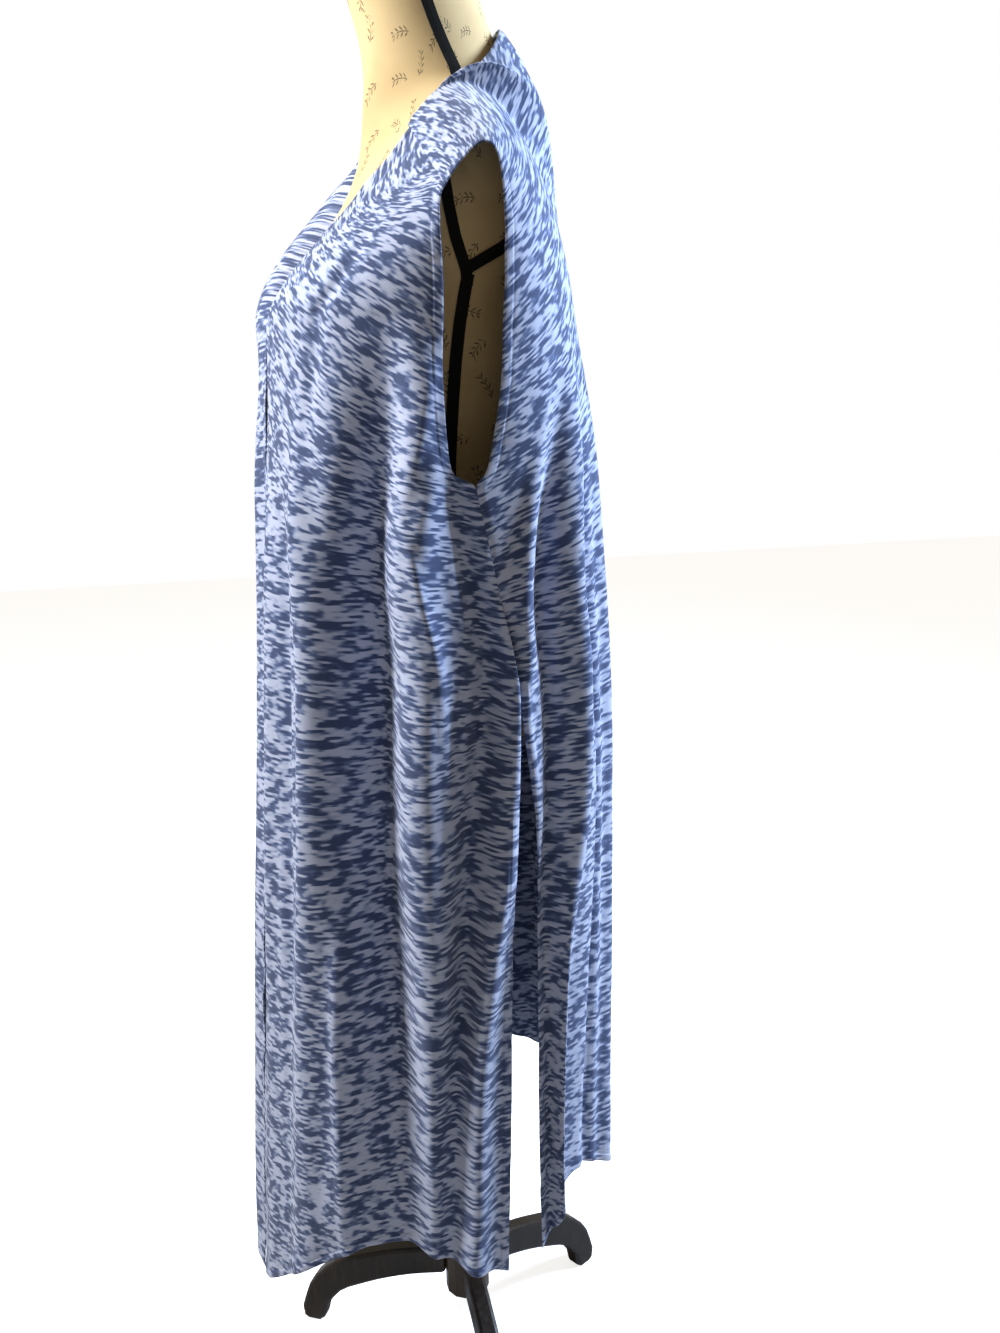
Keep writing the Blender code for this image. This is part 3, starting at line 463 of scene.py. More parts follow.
def makePanel(shoulder, isFront, folds, side, tilt, seed):
    across = np.linspace(0, 1, cloth["panelSteps"])
    grid = panelGrid(shoulder, isFront, across)
    if isFront:
        trimNeck(grid, across, side)
    grid, shares = respaceColumns(grid, across, isFront)
    sign = 1 if isFront else -1
    z = grid[:, :, 2]
    yokeRow = cloth["yokeRows"] + len(edgeSteps) - 1
    u, down = lineLengths(grid, 0), lineLengths(grid, 1)
    climb = lineLengths(grid * (0, 1, 1), 1)
    v = np.where(np.arange(grid.shape[1]) < yokeRow, climb[:, yokeRow][:, None] - climb, z - cloth["yokeZ"])

    # folds run on past the armhole's hollow, so they follow a width that has no step in it
    widthZ = np.array(cloth["foldWidthZ"])
    width = np.interp(-widthZ, -z[-1, yokeRow:], u[-1, yokeRow:])
    smoothWidth = tableAt(np.stack([widthZ, width], axis=1), z.ravel())[:, 0].reshape(z.shape)
    place = np.where(z < cloth["yokeZ"], u / smoothWidth, shares)
    heights = foldHeights(folds, place if isFront else place * side, z)

    # then the small unevenness of hanging jersey, which grows towards the hem
    hanging = smoothStep((jersey["hangTop"] - z) / jersey["hangEase"])
    soft = unevenness("broad", u * side, v, seed) + unevenness("close", u * side, v, seed + 9)
    heights += soft * (jersey["yokeShare"] + (1 - jersey["yokeShare"]) * hanging)

    # how far each point is from the panel's edges, and ripples beside the free ones
    fromFront, fromSide = u, u[-1][None, :] - u
    fromHem, fromTop = down[:, -1:] - down, down
    seamed = (smoothStep((z - cloth["slitTopZ"]) / jersey["seamEase"])
              * smoothStep((cloth["armholeBottomZ"] - z) / jersey["seamEase"]))
    heights += unevenness("hemRipple", u * side, v, seed + 21) * bell(fromHem, jersey["hemReach"])
    ripple = clothNoise(np.full_like(u, seed * 3.1), v * jersey["edgeRipple"], seed + 5)
    heights += ripple * jersey["sideHeight"] * bell(fromSide, jersey["edgeReach"]) * (1 - seamed)
    if isFront:
        heights += ripple[::-1] * jersey["frontHeight"] * bell(fromFront, jersey["edgeReach"])

    # sewn seams sink a little, and cloth puckers beside its stitching
    heights -= jersey["seamSink"] * bell(fromSide, jersey["seamReach"]) * seamed
    seamTop = 1.0 if isFront else smoothStep((shares - cloth["neckShare"]) / jersey["shoulderEase"])
    heights -= jersey["shoulderSink"] * bell(fromTop, jersey["seamReach"]) * seamTop
    nearEdge = np.minimum(fromHem, np.where(seamed > 0.5, fromSide + jersey["seamPucker"], fromSide))
    nearEdge = np.minimum(nearEdge, fromFront) if isFront else nearEdge
    heights += unevenness("pucker", u * side, v, seed + 33) * bell(nearEdge, jersey["puckerReach"])

    normals = gridNormals(grid) * sign
    shaped = grid + normals * heights[:, :, None]
    normals = gridNormals(shaped) * sign

    # the wall: rounded at its edge, thicker in the turning, pinched at the stitch line
    free = [fromHem, np.where(seamed > 0.5, 1.0, fromSide)]
    free += [fromFront] if isFront else [np.where(shares < cloth["neckShare"], fromTop, 1.0)]
    edge = np.minimum.reduce(free)
    turned = edge < cloth["turning"] - jersey["stitchInset"]
    half = cloth["thickness"] / 2 + cloth["turningExtra"] / 2 * turned
    half = half - jersey["stitchPinch"] * bell(edge - cloth["turning"], jersey["stitchReach"])
    rim = np.sqrt(np.clip(edge / jersey["rimReach"], 0, 1))
    half = half * (jersey["rimShare"] + (1 - jersey["rimShare"]) * rim)
    flip = np.array([side, 1, 1])
    return {"points": shaped * flip, "normals": normals * flip, "half": half,
            "courses": courseMap(u, v, z, yokeRow, isFront, side, tilt)}


def makeShell(name, panel, material):
    points, normals, half = panel["points"], panel["normals"], panel["half"][:, :, None]
    countU, countV = points.shape[:2]
    size = countU * countV
    low = (points - normals * half).reshape(-1, 3)
    high = (points + normals * half).reshape(-1, 3)
    ids = np.arange(size).reshape(countU, countV)
    a, b, c, d = ids[:-1, :-1].ravel(), ids[1:, :-1].ravel(), ids[1:, 1:].ravel(), ids[:-1, 1:].ravel()
    faces = np.concatenate([np.stack([a, b, c, d], axis=1) + size, np.stack([a, d, c, b], axis=1)])
    rim = np.concatenate([ids[:, 0], ids[-1, 1:], ids[-2::-1, -1], ids[0, -2:0:-1]])
    following = np.roll(rim, -1)
    faces = np.concatenate([faces, np.stack([rim, rim + size, following + size, following], axis=1)])
    mesh = bpy.data.meshes.new(name)
    mesh.from_pydata(np.vstack([low, high]) + poleShift, [], faces.tolist())
    uvLayer = mesh.uv_layers.new(name="courses")
    corner = np.zeros(len(mesh.loops), dtype=np.int32)
    mesh.loops.foreach_get("vertex_index", corner)
    flat = panel["courses"].reshape(-1, 2)
    uvLayer.data.foreach_set("uv", np.vstack([flat, flat])[corner].ravel().astype(np.float32))
    work = bmesh.new()
    work.from_mesh(mesh)
    bmesh.ops.recalc_face_normals(work, faces=work.faces[:])
    work.to_mesh(mesh)
    work.free()
    mesh.shade_smooth()
    mesh.materials.append(material)
    piece = bpy.data.objects.new(name, mesh)
    bpy.context.scene.collection.objects.link(piece)
    return piece


def finishCloth(piece, node):
    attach(piece, "root")
    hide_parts(node)


def addNode(tree, kind, **settings):
    node = tree.nodes.new("ShaderNode" + kind)
    for key, value in settings.items():
        setattr(node, key, value)
    return node


def connect(tree, value, socket):
    if isinstance(value, bpy.types.NodeSocket):
        tree.links.new(value, socket)
    else:
        socket.default_value = value


def mathOf(tree, operation, *values):
    node = addNode(tree, "Math", operation=operation)
    for value, socket in zip(values, node.inputs):
        connect(tree, value, socket)
    return node.outputs[0]


def timesOf(tree, *values):
    product = values[0]
    for value in values[1:]:
        product = mathOf(tree, "MULTIPLY", product, value)
    return product


def sineOf(tree, value, length):
    return mathOf(tree, "SINE", timesOf(tree, value, 2 * math.pi / length))


def vectorOf(tree, x, y, z=0.0):
    node = addNode(tree, "CombineXYZ")
    for value, socket in zip((x, y, z), node.inputs):
        connect(tree, value, socket)
    return node.outputs[0]


def noiseOf(tree, vector, scale, detail=1.0, dimensions="3D", distortion=0.0):
    node = addNode(tree, "TexNoise", noise_dimensions=dimensions)
    connect(tree, vector, node.inputs["Vector"])
    node.inputs["Scale"].default_value = scale
    node.inputs["Detail"].default_value = detail
    node.inputs["Distortion"].default_value = distortion
    return node.outputs["Fac"]


def stepOf(tree, value, low, high):
    node = addNode(tree, "MapRange", interpolation_type="SMOOTHSTEP")
    connect(tree, value, node.inputs["Value"])
    connect(tree, low, node.inputs["From Min"])
    connect(tree, high, node.inputs["From Max"])
    return node.outputs["Result"]


def mixColour(tree, share, first, second):
    node = addNode(tree, "Mix", data_type="RGBA")
    connect(tree, share, node.inputs[0])
    connect(tree, first, node.inputs[6])
    connect(tree, second, node.inputs[7])
    return node.outputs[2]


def rampOf(tree, value, stops):
    node = addNode(tree, "ValToRGB")
    connect(tree, value, node.inputs["Fac"])
    elements = node.color_ramp.elements
    while len(elements) < len(stops):
        elements.new(0.5)
    for element, (place, colour) in zip(elements, stops):
        element.position = place
        element.color = colour
    return node.outputs["Color"]


def startMaterial(name, settings):
    material = bpy.data.materials.new(name)
    material.use_nodes = True
    tree = material.node_tree
    shader = tree.nodes["Principled BSDF"]
    for socket, value in settings.items():
        shader.inputs[socket].default_value = value
    return material, tree, shader


def addBump(tree, shader, height, strength, distance):
    bump = addNode(tree, "Bump")
    bump.inputs["Strength"].default_value = strength
    bump.inputs["Distance"].default_value = distance
    connect(tree, height, bump.inputs["Height"])
    tree.links.new(bump.outputs["Normal"], shader.inputs["Normal"])


marl = {
    "rowHeight": 0.0026,        # one dyed course band, about two knitted rows
    "rowBlend": (0.22, 0.78),   # where in a band one row gives way to the next
    "rowShift": 3.37,
    "dashLength": 0.0145,
    "dashShift": 37.0,          # each row's dashes are moved along by up to this many dashes
    "dashShare": 0.62,
    "blotch": (0.026, 0.0105),
    "blotchShare": 0.38,
    "waver": 0.0034,
    "broadWaver": (11, 3.0),    # how fine it is and how strong, in wavers
    "closeWaver": (60, 0.7),
    "balance": 0.500,
    "contrast": 3.0,
    "dyes": [(0.28, (0.040, 0.062, 0.150, 1)),   # navy
             (0.44, (0.120, 0.165, 0.320, 1)),   # slate
             (0.56, (0.380, 0.435, 0.600, 1)),   # sky
             (0.74, (0.560, 0.600, 0.765, 1))],  # pale
    "fibre": (420.0, 900.0),
    "fibreShare": 0.22,
    "fibreShade": (0.16, 0.20, 0.36, 1),
    "wale": 0.0011,
    "course": 0.0010,
    "legLean": 0.9,
}


def makeMarl():
    material, tree, shader = startMaterial("knitMarl", {
        "Roughness": 0.88, "Specular IOR Level": 0.25, "Sheen Weight": 0.25, "Sheen Roughness": 0.5})
    courses = addNode(tree, "UVMap", uv_map="courses").outputs["UV"]
    split = addNode(tree, "SeparateXYZ")
    tree.links.new(courses, split.inputs[0])
    u, v = split.outputs["X"], split.outputs["Y"]

    # courses waver a little, so the dashes don't lie on ruled lines
    wavering = v
    for fineness, strength in (marl["broadWaver"], marl["closeWaver"]):
        off = mathOf(tree, "SUBTRACT", noiseOf(tree, courses, fineness, 1, "2D"), 0.5)
        wavering = mathOf(tree, "MULTIPLY_ADD", off, marl["waver"] * strength, wavering)
    shifted = mathOf(tree, "SUBTRACT", mathOf(tree, "DIVIDE", wavering, marl["rowHeight"]), 0.5)
    lowRow = mathOf(tree, "FLOOR", shifted)
    dashes = []
    for offset in (0.0, 1.0):
        row = mathOf(tree, "ADD", lowRow, offset)
        random = addNode(tree, "TexWhiteNoise", noise_dimensions="1D")
        connect(tree, row, random.inputs["W"])
        along = mathOf(tree, "MULTIPLY_ADD", random.outputs["Value"], marl["dashShift"],
                       mathOf(tree, "DIVIDE", u, marl["dashLength"]))
        spot = vectorOf(tree, along, timesOf(tree, row, marl["rowShift"]))
        dashes.append(noiseOf(tree, spot, 1.0, 1, "2D"))
    blend = stepOf(tree, mathOf(tree, "FRACT", shifted), *marl["rowBlend"])
    dash = addNode(tree, "Mix", data_type="FLOAT")
    for value, socket in zip((blend, dashes[0], dashes[1]), (dash.inputs[0], dash.inputs[2], dash.inputs[3])):
        connect(tree, value, socket)
    wide, tall = marl["blotch"]
    spot = vectorOf(tree, mathOf(tree, "DIVIDE", u, wide), mathOf(tree, "DIVIDE", wavering, tall))
    blotches = timesOf(tree, noiseOf(tree, spot, 1.0, 2, "2D"), marl["blotchShare"])
    value = mathOf(tree, "MULTIPLY_ADD", dash.outputs[0], marl["dashShare"], blotches)
    value = mathOf(tree, "SUBTRACT", value, marl["balance"])
    colour = rampOf(tree, mathOf(tree, "MULTIPLY_ADD", value, marl["contrast"], 0.5), marl["dyes"])
    across, down = marl["fibre"]
    fibre = noiseOf(tree, vectorOf(tree, timesOf(tree, u, across), timesOf(tree, v, down)), 1.0, 2, "2D")
    colour = mixColour(tree, timesOf(tree, fibre, marl["fibreShare"]), colour, marl["fibreShade"])
    tree.links.new(colour, shader.inputs["Base Color"])

    # knitted loops: two legs of a stitch lean towards each other in every wale
    wale = mathOf(tree, "PINGPONG", mathOf(tree, "DIVIDE", u, marl["wale"]), 0.5)
    loop = mathOf(tree, "MULTIPLY_ADD", wale, marl["legLean"], mathOf(tree, "DIVIDE", v, marl["course"]))
    legs, ribs = sineOf(tree, loop, 1.0), sineOf(tree, wale, 1.0)
    height = mathOf(tree, "MULTIPLY_ADD", legs, 0.35, timesOf(tree, ribs, 0.5))
    height = mathOf(tree, "ADD", height, timesOf(tree, fibre, 0.8))
    addBump(tree, shader, height, 0.35, 0.0003)
    return material


knit = makeMarl()

# how steeply the courses fall away from the middle, by height along the cloth from the yoke
frontTilt = [(-0.95, 0.00), (-0.45, 0.00), (-0.36, 0.10), (-0.20, 0.28), (-0.12, 0.52), (-0.04, 0.66),
             (0.06, 0.75), (0.14, 1.00), (0.20, 1.00)]
backTilt = [(-0.95, 0.02), (-0.56, 0.06), (-0.36, 0.25), (-0.16, 0.60), (0.12, 1.05), (0.30, 1.05)]


def makeFront(name, node, shoulder, folds, side, seed):
    panel = makePanel(shoulder, True, folds, side, frontTilt, seed)
    finishCloth(makeShell(name, panel, knit), node)


def makeBack(seed):
    # two mirrored halves, joined along the middle column
    right = makePanel(cloth["rightShoulder"], False, backFolds + backCreases, -1, backTilt, seed)
    left = makePanel(cloth["leftShoulder"], False, backFolds + backCreases, 1, backTilt, seed)
    whole = {key: np.concatenate([right[key][:0:-1], (right[key][:1] + left[key][:1]) / 2, left[key][1:]])
             for key in right}
    whole["normals"] = whole["normals"] / np.linalg.norm(whole["normals"], axis=2)[:, :, None]
    finishCloth(makeShell("cardiganBack", whole, knit), "cardigan_back")


makeFront("cardiganFrontLeft", "cardigan_front_left", cloth["leftShoulder"], leftFrontFolds, 1, 1.7)
makeFront("cardiganFrontRight", "cardigan_front_right", cloth["rightShoulder"],
          rightFrontFolds + rightFrontCreases, -1, 2.9)
makeBack(4.2)


cover = {
    "cream": (0.80, 0.59, 0.30, 1),
    "shade": (0.64, 0.45, 0.21, 1),
    "print": (0.020, 0.014, 0.010, 1),
    "plainTop": (0.006, 0.004),     # how far below the neck's flat top the print ends
    "thread": 0.0009,
    "quadAngles": (30, 40),         # degrees, for joining triangles in pairs
    "creaseAngle": 38,
    "crease": 0.75,
    "levels": 2,
}
sprig = {   # the printed leaf sprigs, in millimetres but for the cell
    "cell": 0.040,
    "scatter": 0.6,
    "turn": 6.283,                  # each sprig is turned by a share of this, in radians
    "scale": 1000.0,
    "bend": 0.018,
    "halfLength": (10.5, 11.5),
    "halfStem": (0.30, 0.65),
    "leafPitch": 5.6,
    "leafLean": -0.9,
    "leafShift": 102.0,             # keeps the remainder above nothing
    "leafStart": 0.4,
    "leafLength": 4.6,
    "leafHalfWidth": 1.15,
    "leafEdge": (-0.3, 0.05),
    "inkShare": 0.8,
}


def pickPiece(piece):
    bpy.ops.object.select_all(action="DESELECT")
    piece.select_set(True)
    bpy.context.view_layer.objects.active = piece


def copyNode(nodeName, pieceName):
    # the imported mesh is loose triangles, so the copy is merged before it is refined
    source = nodes[nodeName]
    piece = source.copy()
    piece.data = source.data.copy()
    piece.name = pieceName
    piece.parent = None
    bpy.context.scene.collection.objects.link(piece)
    work = bmesh.new()
    work.from_mesh(piece.data)
    bmesh.ops.remove_doubles(work, verts=work.verts[:], dist=1e-5)
    work.to_mesh(piece.data)
    work.free()
    return piece


def drawSprigs(tree, unrolled):
    # one to a cell of the unrolled cloth: a bent stem with pairs of leaves along it
    cells = addNode(tree, "TexVoronoi", voronoi_dimensions="2D", feature="F1")
    connect(tree, unrolled, cells.inputs["Vector"])
    cells.inputs["Scale"].default_value = 1 / sprig["cell"]
    cells.inputs["Randomness"].default_value = sprig["scatter"]
    away = addNode(tree, "VectorMath", operation="SUBTRACT")
    tree.links.new(unrolled, away.inputs[0])
    tree.links.new(cells.outputs["Position"], away.inputs[1])
    turned = addNode(tree, "VectorRotate", rotation_type="Z_AXIS")
    tree.links.new(away.outputs[0], turned.inputs["Vector"])
    tree.links.new(timesOf(tree, cells.outputs["Color"], sprig["turn"]), turned.inputs["Angle"])
    local = addNode(tree, "SeparateXYZ")
    tree.links.new(turned.outputs[0], local.inputs[0])
    run, rise = (timesOf(tree, local.outputs[axis], sprig["scale"]) for axis in "XY")
    bend = timesOf(tree, run, run, sprig["bend"])
    off = mathOf(tree, "ABSOLUTE", mathOf(tree, "SUBTRACT", rise, bend))
    within = mathOf(tree, "SUBTRACT", 1.0, stepOf(tree, mathOf(tree, "ABSOLUTE", run), *sprig["halfLength"]))
    stem = mathOf(tree, "SUBTRACT", 1.0, stepOf(tree, off, *sprig["halfStem"]))
    pitch = sprig["leafPitch"]
    leafRun = mathOf(tree, "ADD", run, sprig["leafShift"])
    leafRun = mathOf(tree, "MULTIPLY_ADD", off, sprig["leafLean"], leafRun)
    fromLeaf = mathOf(tree, "SUBTRACT", mathOf(tree, "MODULO", leafRun, pitch), pitch / 2)
    share = mathOf(tree, "DIVIDE", mathOf(tree, "SUBTRACT", off, sprig["leafStart"]), sprig["leafLength"])
    share = mathOf(tree, "MINIMUM", mathOf(tree, "MAXIMUM", share, 0.0), 1.0)
    width = timesOf(tree, sineOf(tree, share, 2.0), sprig["leafHalfWidth"])
    outside = mathOf(tree, "SUBTRACT", mathOf(tree, "ABSOLUTE", fromLeaf), width)
    leaf = mathOf(tree, "SUBTRACT", 1.0, stepOf(tree, outside, *sprig["leafEdge"]))
    return timesOf(tree, mathOf(tree, "MAXIMUM", stem, leaf), within)


def makeCoverMaterial(topZ):
    material, tree, shader = startMaterial("formCover", {
        "Roughness": 0.82, "Specular IOR Level": 0.3, "Sheen Weight": 0.12})
    place = addNode(tree, "TexCoord").outputs["Object"]
    split = addNode(tree, "SeparateXYZ")
    tree.links.new(place, split.inputs[0])
    x, y, z = split.outputs
    stain = noiseOf(tree, place, 9, 3)
    colour = mixColour(tree, stepOf(tree, stain, 0.35, 0.75), cover["cream"], cover["shade"])

    # the cloth is unrolled round the form for its print and its weave
    reach = mathOf(tree, "SQRT", mathOf(tree, "ADD", timesOf(tree, x, x), timesOf(tree, y, y)))
    unrolledX = timesOf(tree, mathOf(tree, "ARCTAN2", x, timesOf(tree, y, -1.0)), reach)
    low, high = (topZ - below for below in cover["plainTop"])
    printed = mathOf(tree, "SUBTRACT", 1.0, stepOf(tree, z, low, high))
    worn = stepOf(tree, noiseOf(tree, place, 160, 2), 0.30, 0.52)
    ink = timesOf(tree, drawSprigs(tree, vectorOf(tree, unrolledX, z)), printed, worn, sprig["inkShare"])
    colour = mixColour(tree, ink, colour, cover["print"])
    tree.links.new(colour, shader.inputs["Base Color"])
    warp, weft = sineOf(tree, unrolledX, cover["thread"]), sineOf(tree, z, cover["thread"])
    addBump(tree, shader, timesOf(tree, warp, weft), 0.25, 0.00015)
    return material


tape = {
    "black": (0.003, 0.003, 0.003, 1),
    "fluff": (0.012, 0.010, 0.009, 1),
    "rib": 0.0011,
    "ribLean": 0.8,
}


def makeTapeMaterial():
    material, tree, shader = startMaterial("formTape", {
        "Roughness": 0.70, "Specular IOR Level": 0.16, "Sheen Weight": 0.03})
    place = addNode(tree, "TexCoord").outputs["Object"]
    split = addNode(tree, "SeparateXYZ")
    tree.links.new(place, split.inputs[0])
    fluff = noiseOf(tree, place, 240, 2)
    tree.links.new(mixColour(tree, fluff, tape["black"], tape["fluff"]), shader.inputs["Base Color"])
    leaning = timesOf(tree, split.outputs["Y"], tape["ribLean"])
    ribs = sineOf(tree, mathOf(tree, "ADD", split.outputs["Z"], leaning), tape["rib"])
    addBump(tree, shader, mathOf(tree, "ADD", ribs, fluff), 0.4, 0.0002)
    return material


wood = {
    "stretch": (1.0, 1.0, 0.16),    # the grain runs along the pole
    "stain": [(0.30, (0.0045, 0.0025, 0.0015, 1)), (0.55, (0.013, 0.008, 0.005, 1)),
              (0.75, (0.030, 0.019, 0.011, 1))],
    "rubbed": (0.10, 0.062, 0.036, 1),
    "rubbedEdge": (0.52, 0.60),
}


def makeWoodMaterial():
    material, tree, shader = startMaterial("standWood", {
        "Roughness": 0.38, "Specular IOR Level": 0.5, "Coat Weight": 0.25, "Coat Roughness": 0.25})
    place = addNode(tree, "TexCoord").outputs["Object"]
    stretch = addNode(tree, "Mapping")
    stretch.inputs["Scale"].default_value = wood["stretch"]
    tree.links.new(place, stretch.inputs["Vector"])
    grain = noiseOf(tree, stretch.outputs[0], 150, 4, distortion=1.2)
    edges = stepOf(tree, addNode(tree, "NewGeometry").outputs["Pointiness"], *wood["rubbedEdge"])
    rubbed = timesOf(tree, edges, noiseOf(tree, place, 7, 2))
    colour = mixColour(tree, rubbed, rampOf(tree, grain, wood["stain"]), wood["rubbed"])
    tree.links.new(colour, shader.inputs["Base Color"])
    tree.links.new(mathOf(tree, "MULTIPLY_ADD", grain, 0.22, 0.28), shader.inputs["Roughness"])
    addBump(tree, shader, grain, 0.12, 0.0004)
    return material


def makeFormCover(material):
    piece = copyNode("form_torso", "formCover")
    pickPiece(piece)
    faceAngle, shapeAngle = (math.radians(angle) for angle in cover["quadAngles"])
    bpy.ops.object.mode_set(mode="EDIT")
    bpy.ops.mesh.select_all(action="SELECT")
    bpy.ops.mesh.tris_convert_to_quads(face_threshold=faceAngle, shape_threshold=shapeAngle)
    bpy.ops.mesh.select_all(action="DESELECT")
    bpy.ops.mesh.select_mode(type="EDGE")
    bpy.ops.mesh.edges_select_sharp(sharpness=math.radians(cover["creaseAngle"]))
    bpy.ops.transform.edge_crease(value=cover["crease"])
    bpy.ops.object.mode_set(mode="OBJECT")
    smoothing = piece.modifiers.new("smoothing", "SUBSURF")
    smoothing.levels = smoothing.render_levels = cover["levels"]
    bpy.ops.object.modifier_apply(modifier="smoothing")
    bpy.ops.object.shade_smooth()
    piece.data.materials.clear()
    piece.data.materials.append(material)
    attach(piece, "root")
    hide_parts("form_torso")
    return piece


tapeMaterial, woodMaterial = makeTapeMaterial(), makeWoodMaterial()
for name, piece in nodes.items():
    finish = tapeMaterial if "tape" in name else woodMaterial if name.startswith("stand") else None
    if finish:
        for slot in piece.material_slots:
            slot.material = finish
coverTop = max(corner[2] for corner in nodes["form_torso"].bound_box)
formCover = makeFormCover(makeCoverMaterial(coverTop))


armTape = {
    "startX": 0.1705,           # 20 mm outside the shoulder plate, from where it is pressed on
    "width": 0.0100,
    "thickness": 0.0009,
    "lap": 0.0004,              # how much further out the back band starts
    "standOff": 0.0003,
    "rows": 25,
    "columns": 7,
    "smoothAngle": 40,
    "front": [(-0.0225, 1.270), (-0.0190, 1.246), (-0.0145, 1.222), (-0.0095, 1.206), (-0.0055, 1.1935),
              (-0.0048, 1.181)],
    "back": [(-0.0090, 1.1925), (0.0024, 1.1990), (0.0114, 1.2040), (0.0277, 1.2130), (0.0420, 1.2240)],
}


def makeArmTape(name, node, side):
    # two flat bands that meet over the side tape's top, pressed onto the cover
    work = bmesh.new()
    for band, lift in (("front", 0.0), ("back", armTape["lap"])):
        path = np.array(armTape[band])
        lengths = np.append(0.0, np.cumsum(np.linalg.norm(np.diff(path, axis=0), axis=1)))
        at = np.linspace(0, lengths[-1], armTape["rows"])
        path = np.stack([np.interp(at, lengths, path[:, 0]), np.interp(at, lengths, path[:, 1])], axis=1)
        away = np.gradient(path, axis=0)
        away = np.stack([-away[:, 1], away[:, 0]], axis=1) / np.linalg.norm(away, axis=1)[:, None]
        rows = []
        for point, across in zip(path, away):
            row = []
            for share in np.linspace(-0.5, 0.5, armTape["columns"]):
                y, z = point + across * share * armTape["width"]
                x = side * (armTape["startX"] + lift)
                row.append(work.verts.new((x + poleShift[0], y + poleShift[1], z)))
            rows.append(row)
        for low, high in zip(rows[:-1], rows[1:]):
            for k in range(len(low) - 1):
                work.faces.new((low[k], low[k + 1], high[k + 1], high[k]))
    mesh = bpy.data.meshes.new(name)
    work.to_mesh(mesh)
    work.free()
    piece = bpy.data.objects.new(name, mesh)
    bpy.context.scene.collection.objects.link(piece)
    pickPiece(piece)
    press = piece.modifiers.new("press", "SHRINKWRAP")
    press.target = formCover
    press.wrap_method = "PROJECT"
    press.use_project_x = True
    press.use_negative_direction = side > 0
    press.use_positive_direction = side < 0
    press.offset = armTape["standOff"]
    bpy.ops.object.modifier_apply(modifier="press")
    wall = piece.modifiers.new("wall", "SOLIDIFY")
    wall.thickness = armTape["thickness"]
    wall.offset = -1.0 if side > 0 else 1.0
    bpy.ops.object.modifier_apply(modifier="wall")
    bpy.ops.object.mode_set(mode="EDIT")
    bpy.ops.mesh.select_all(action="SELECT")
    bpy.ops.mesh.normals_make_consistent(inside=False)
    bpy.ops.object.mode_set(mode="OBJECT")
    bpy.ops.object.shade_smooth_by_angle(angle=math.radians(armTape["smoothAngle"]))
    piece.data.materials.append(tapeMaterial)
    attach(piece, "root")
    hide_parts(node)
    low, high = piece.bound_box[0], piece.bound_box[6]
    print("tape:", name, [round(v, 4) for v in low], [round(v, 4) for v in high])


makeArmTape("armTapeLeft", "form_armhole_tape_left", 1)
makeArmTape("armTapeRight", "form_armhole_tape_right", -1)
print("form: cover, tapes and stand finished")


photoView = {
    "focalPixels": 1152.57, "imageHeight": 1333, "azimuth": 77.0, "distance": 1.1813,
    "height": 1.0562, "pitch": 11.44, "yaw": -2.708, "roll": -1.433,
}


def makeCamera():
    azimuth, pitch, yaw, roll = (math.radians(photoView[k]) for k in ("azimuth", "pitch", "yaw", "roll"))
    heading = azimuth + yaw
    place = Vector((photoView["distance"] * math.sin(azimuth), -photoView["distance"] * math.cos(azimuth),
                    photoView["height"])) + Vector(poleShift)
    flat = Vector((-math.sin(heading), math.cos(heading), 0))
    right = Vector((math.cos(heading), math.sin(heading), 0))
    ahead = flat * math.cos(pitch) - Vector((0, 0, math.sin(pitch)))
    up = right.cross(ahead)
    turnedRight = right * math.cos(roll) + up * math.sin(roll)
    turnedUp = up * math.cos(roll) - right * math.sin(roll)
    data = bpy.data.cameras.new("photoCamera")
    data.lens = photoView["focalPixels"] * data.sensor_width / photoView["imageHeight"]
    data.sensor_fit = "AUTO"
    camera = bpy.data.objects.new("photoCamera", data)
    bpy.context.scene.collection.objects.link(camera)
    turn = Matrix((turnedRight, turnedUp, -ahead)).transposed()
    camera.matrix_world = Matrix.Translation(place) @ turn.to_4x4()
    bpy.context.scene.camera = camera


makeCamera()

studio = {
    "floor": (0.88, 0.88, 0.88, 1),
    "floorGlow": 0.78,
    "floorBounce": (0.30, 0.29, 0.28, 1),
    "backdrop": (1.0, 1.0, 1.0, 1),
    "fill": (1.0, 0.86, 0.66, 1),
    "fillStrength": 0.225,
    "key": {"place": (-0.10, -1.40, 2.25), "target": (0.0, 0.0, 0.75), "size": (0.5, 0.5), "power": 64,
            "colour": (0.93, 0.96, 1.0)},
    "rim": {"place": (0.22, 2.00, 2.00), "target": (0.0, 0.0, 0.80), "size": (0.6, 1.0), "power": 128,
            "colour": (0.60, 0.76, 1.0)},
}


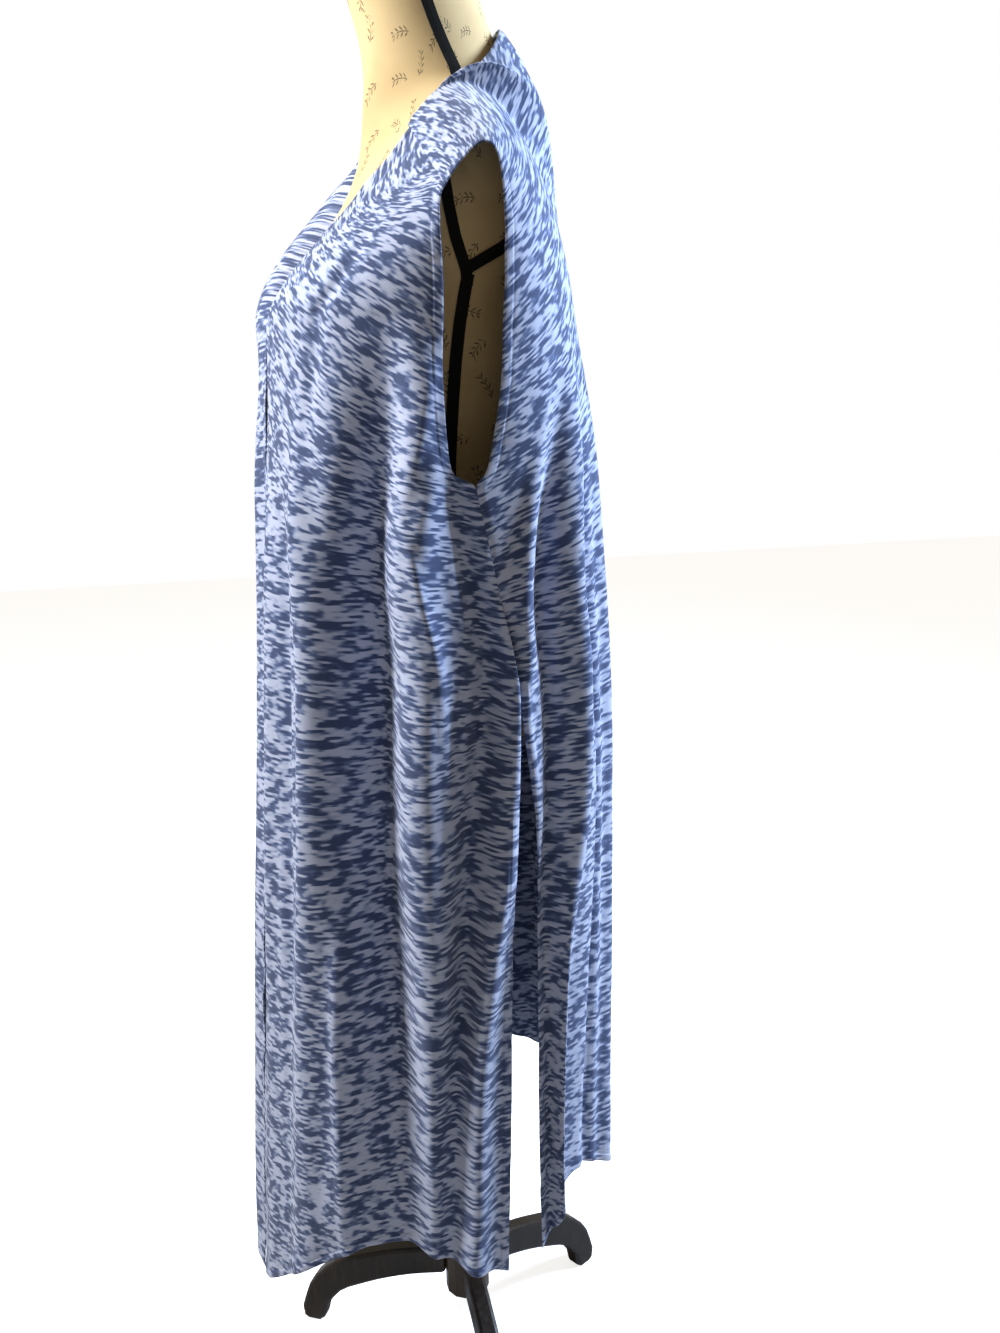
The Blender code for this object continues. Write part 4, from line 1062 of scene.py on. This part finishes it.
def makeFloor():
    bpy.ops.object.select_all(action="DESELECT")
    bpy.ops.mesh.primitive_plane_add(size=16, location=(0, 0, 0))
    floor = bpy.context.object
    floor.name = "floor"
    material, tree, shader = startMaterial("floorPaper", {
        "Roughness": 0.85, "Emission Color": studio["backdrop"]})
    # white to look at, but little light comes back up from it under the hem
    seen = addNode(tree, "LightPath").outputs["Is Camera Ray"]
    connect(tree, mixColour(tree, seen, studio["floorBounce"], studio["floor"]), shader.inputs["Base Color"])
    connect(tree, mathOf(tree, "MULTIPLY", seen, studio["floorGlow"]), shader.inputs["Emission Strength"])
    grain = noiseOf(tree, addNode(tree, "TexCoord").outputs["Object"], 300, 2)
    addBump(tree, shader, grain, 0.1, 0.0003)
    floor.data.materials.append(material)


def makeSky():
    # the backdrop is white to look at, and a softer warm light falls from it on the part
    world = bpy.data.worlds.new("studio")
    bpy.context.scene.world = world
    world.use_nodes = True
    tree = world.node_tree
    seen = tree.nodes["Background"]
    seen.inputs["Color"].default_value = studio["backdrop"]
    fill = addNode(tree, "Background")
    fill.inputs["Color"].default_value = studio["fill"]
    fill.inputs["Strength"].default_value = studio["fillStrength"]
    choice = addNode(tree, "MixShader")
    tree.links.new(addNode(tree, "LightPath").outputs["Is Camera Ray"], choice.inputs[0])
    tree.links.new(fill.outputs[0], choice.inputs[1])
    tree.links.new(seen.outputs[0], choice.inputs[2])
    tree.links.new(choice.outputs[0], tree.nodes["World Output"].inputs["Surface"])


def addSoftbox(name):
    settings = studio[name]
    data = bpy.data.lights.new(name + "Light", "AREA")
    data.shape = "RECTANGLE"
    data.size, data.size_y = settings["size"]
    data.energy = settings["power"]
    data.color = settings["colour"]
    light = bpy.data.objects.new(name + "Light", data)
    bpy.context.scene.collection.objects.link(light)
    light.location = settings["place"]
    aim = Vector(settings["target"]) - light.location
    light.rotation_euler = aim.to_track_quat("-Z", "Y").to_euler()


makeFloor()
makeSky()
addSoftbox("key")
addSoftbox("rim")
bpy.context.scene.view_settings.view_transform = "Standard"
print("studio: floor, backdrop and lights")
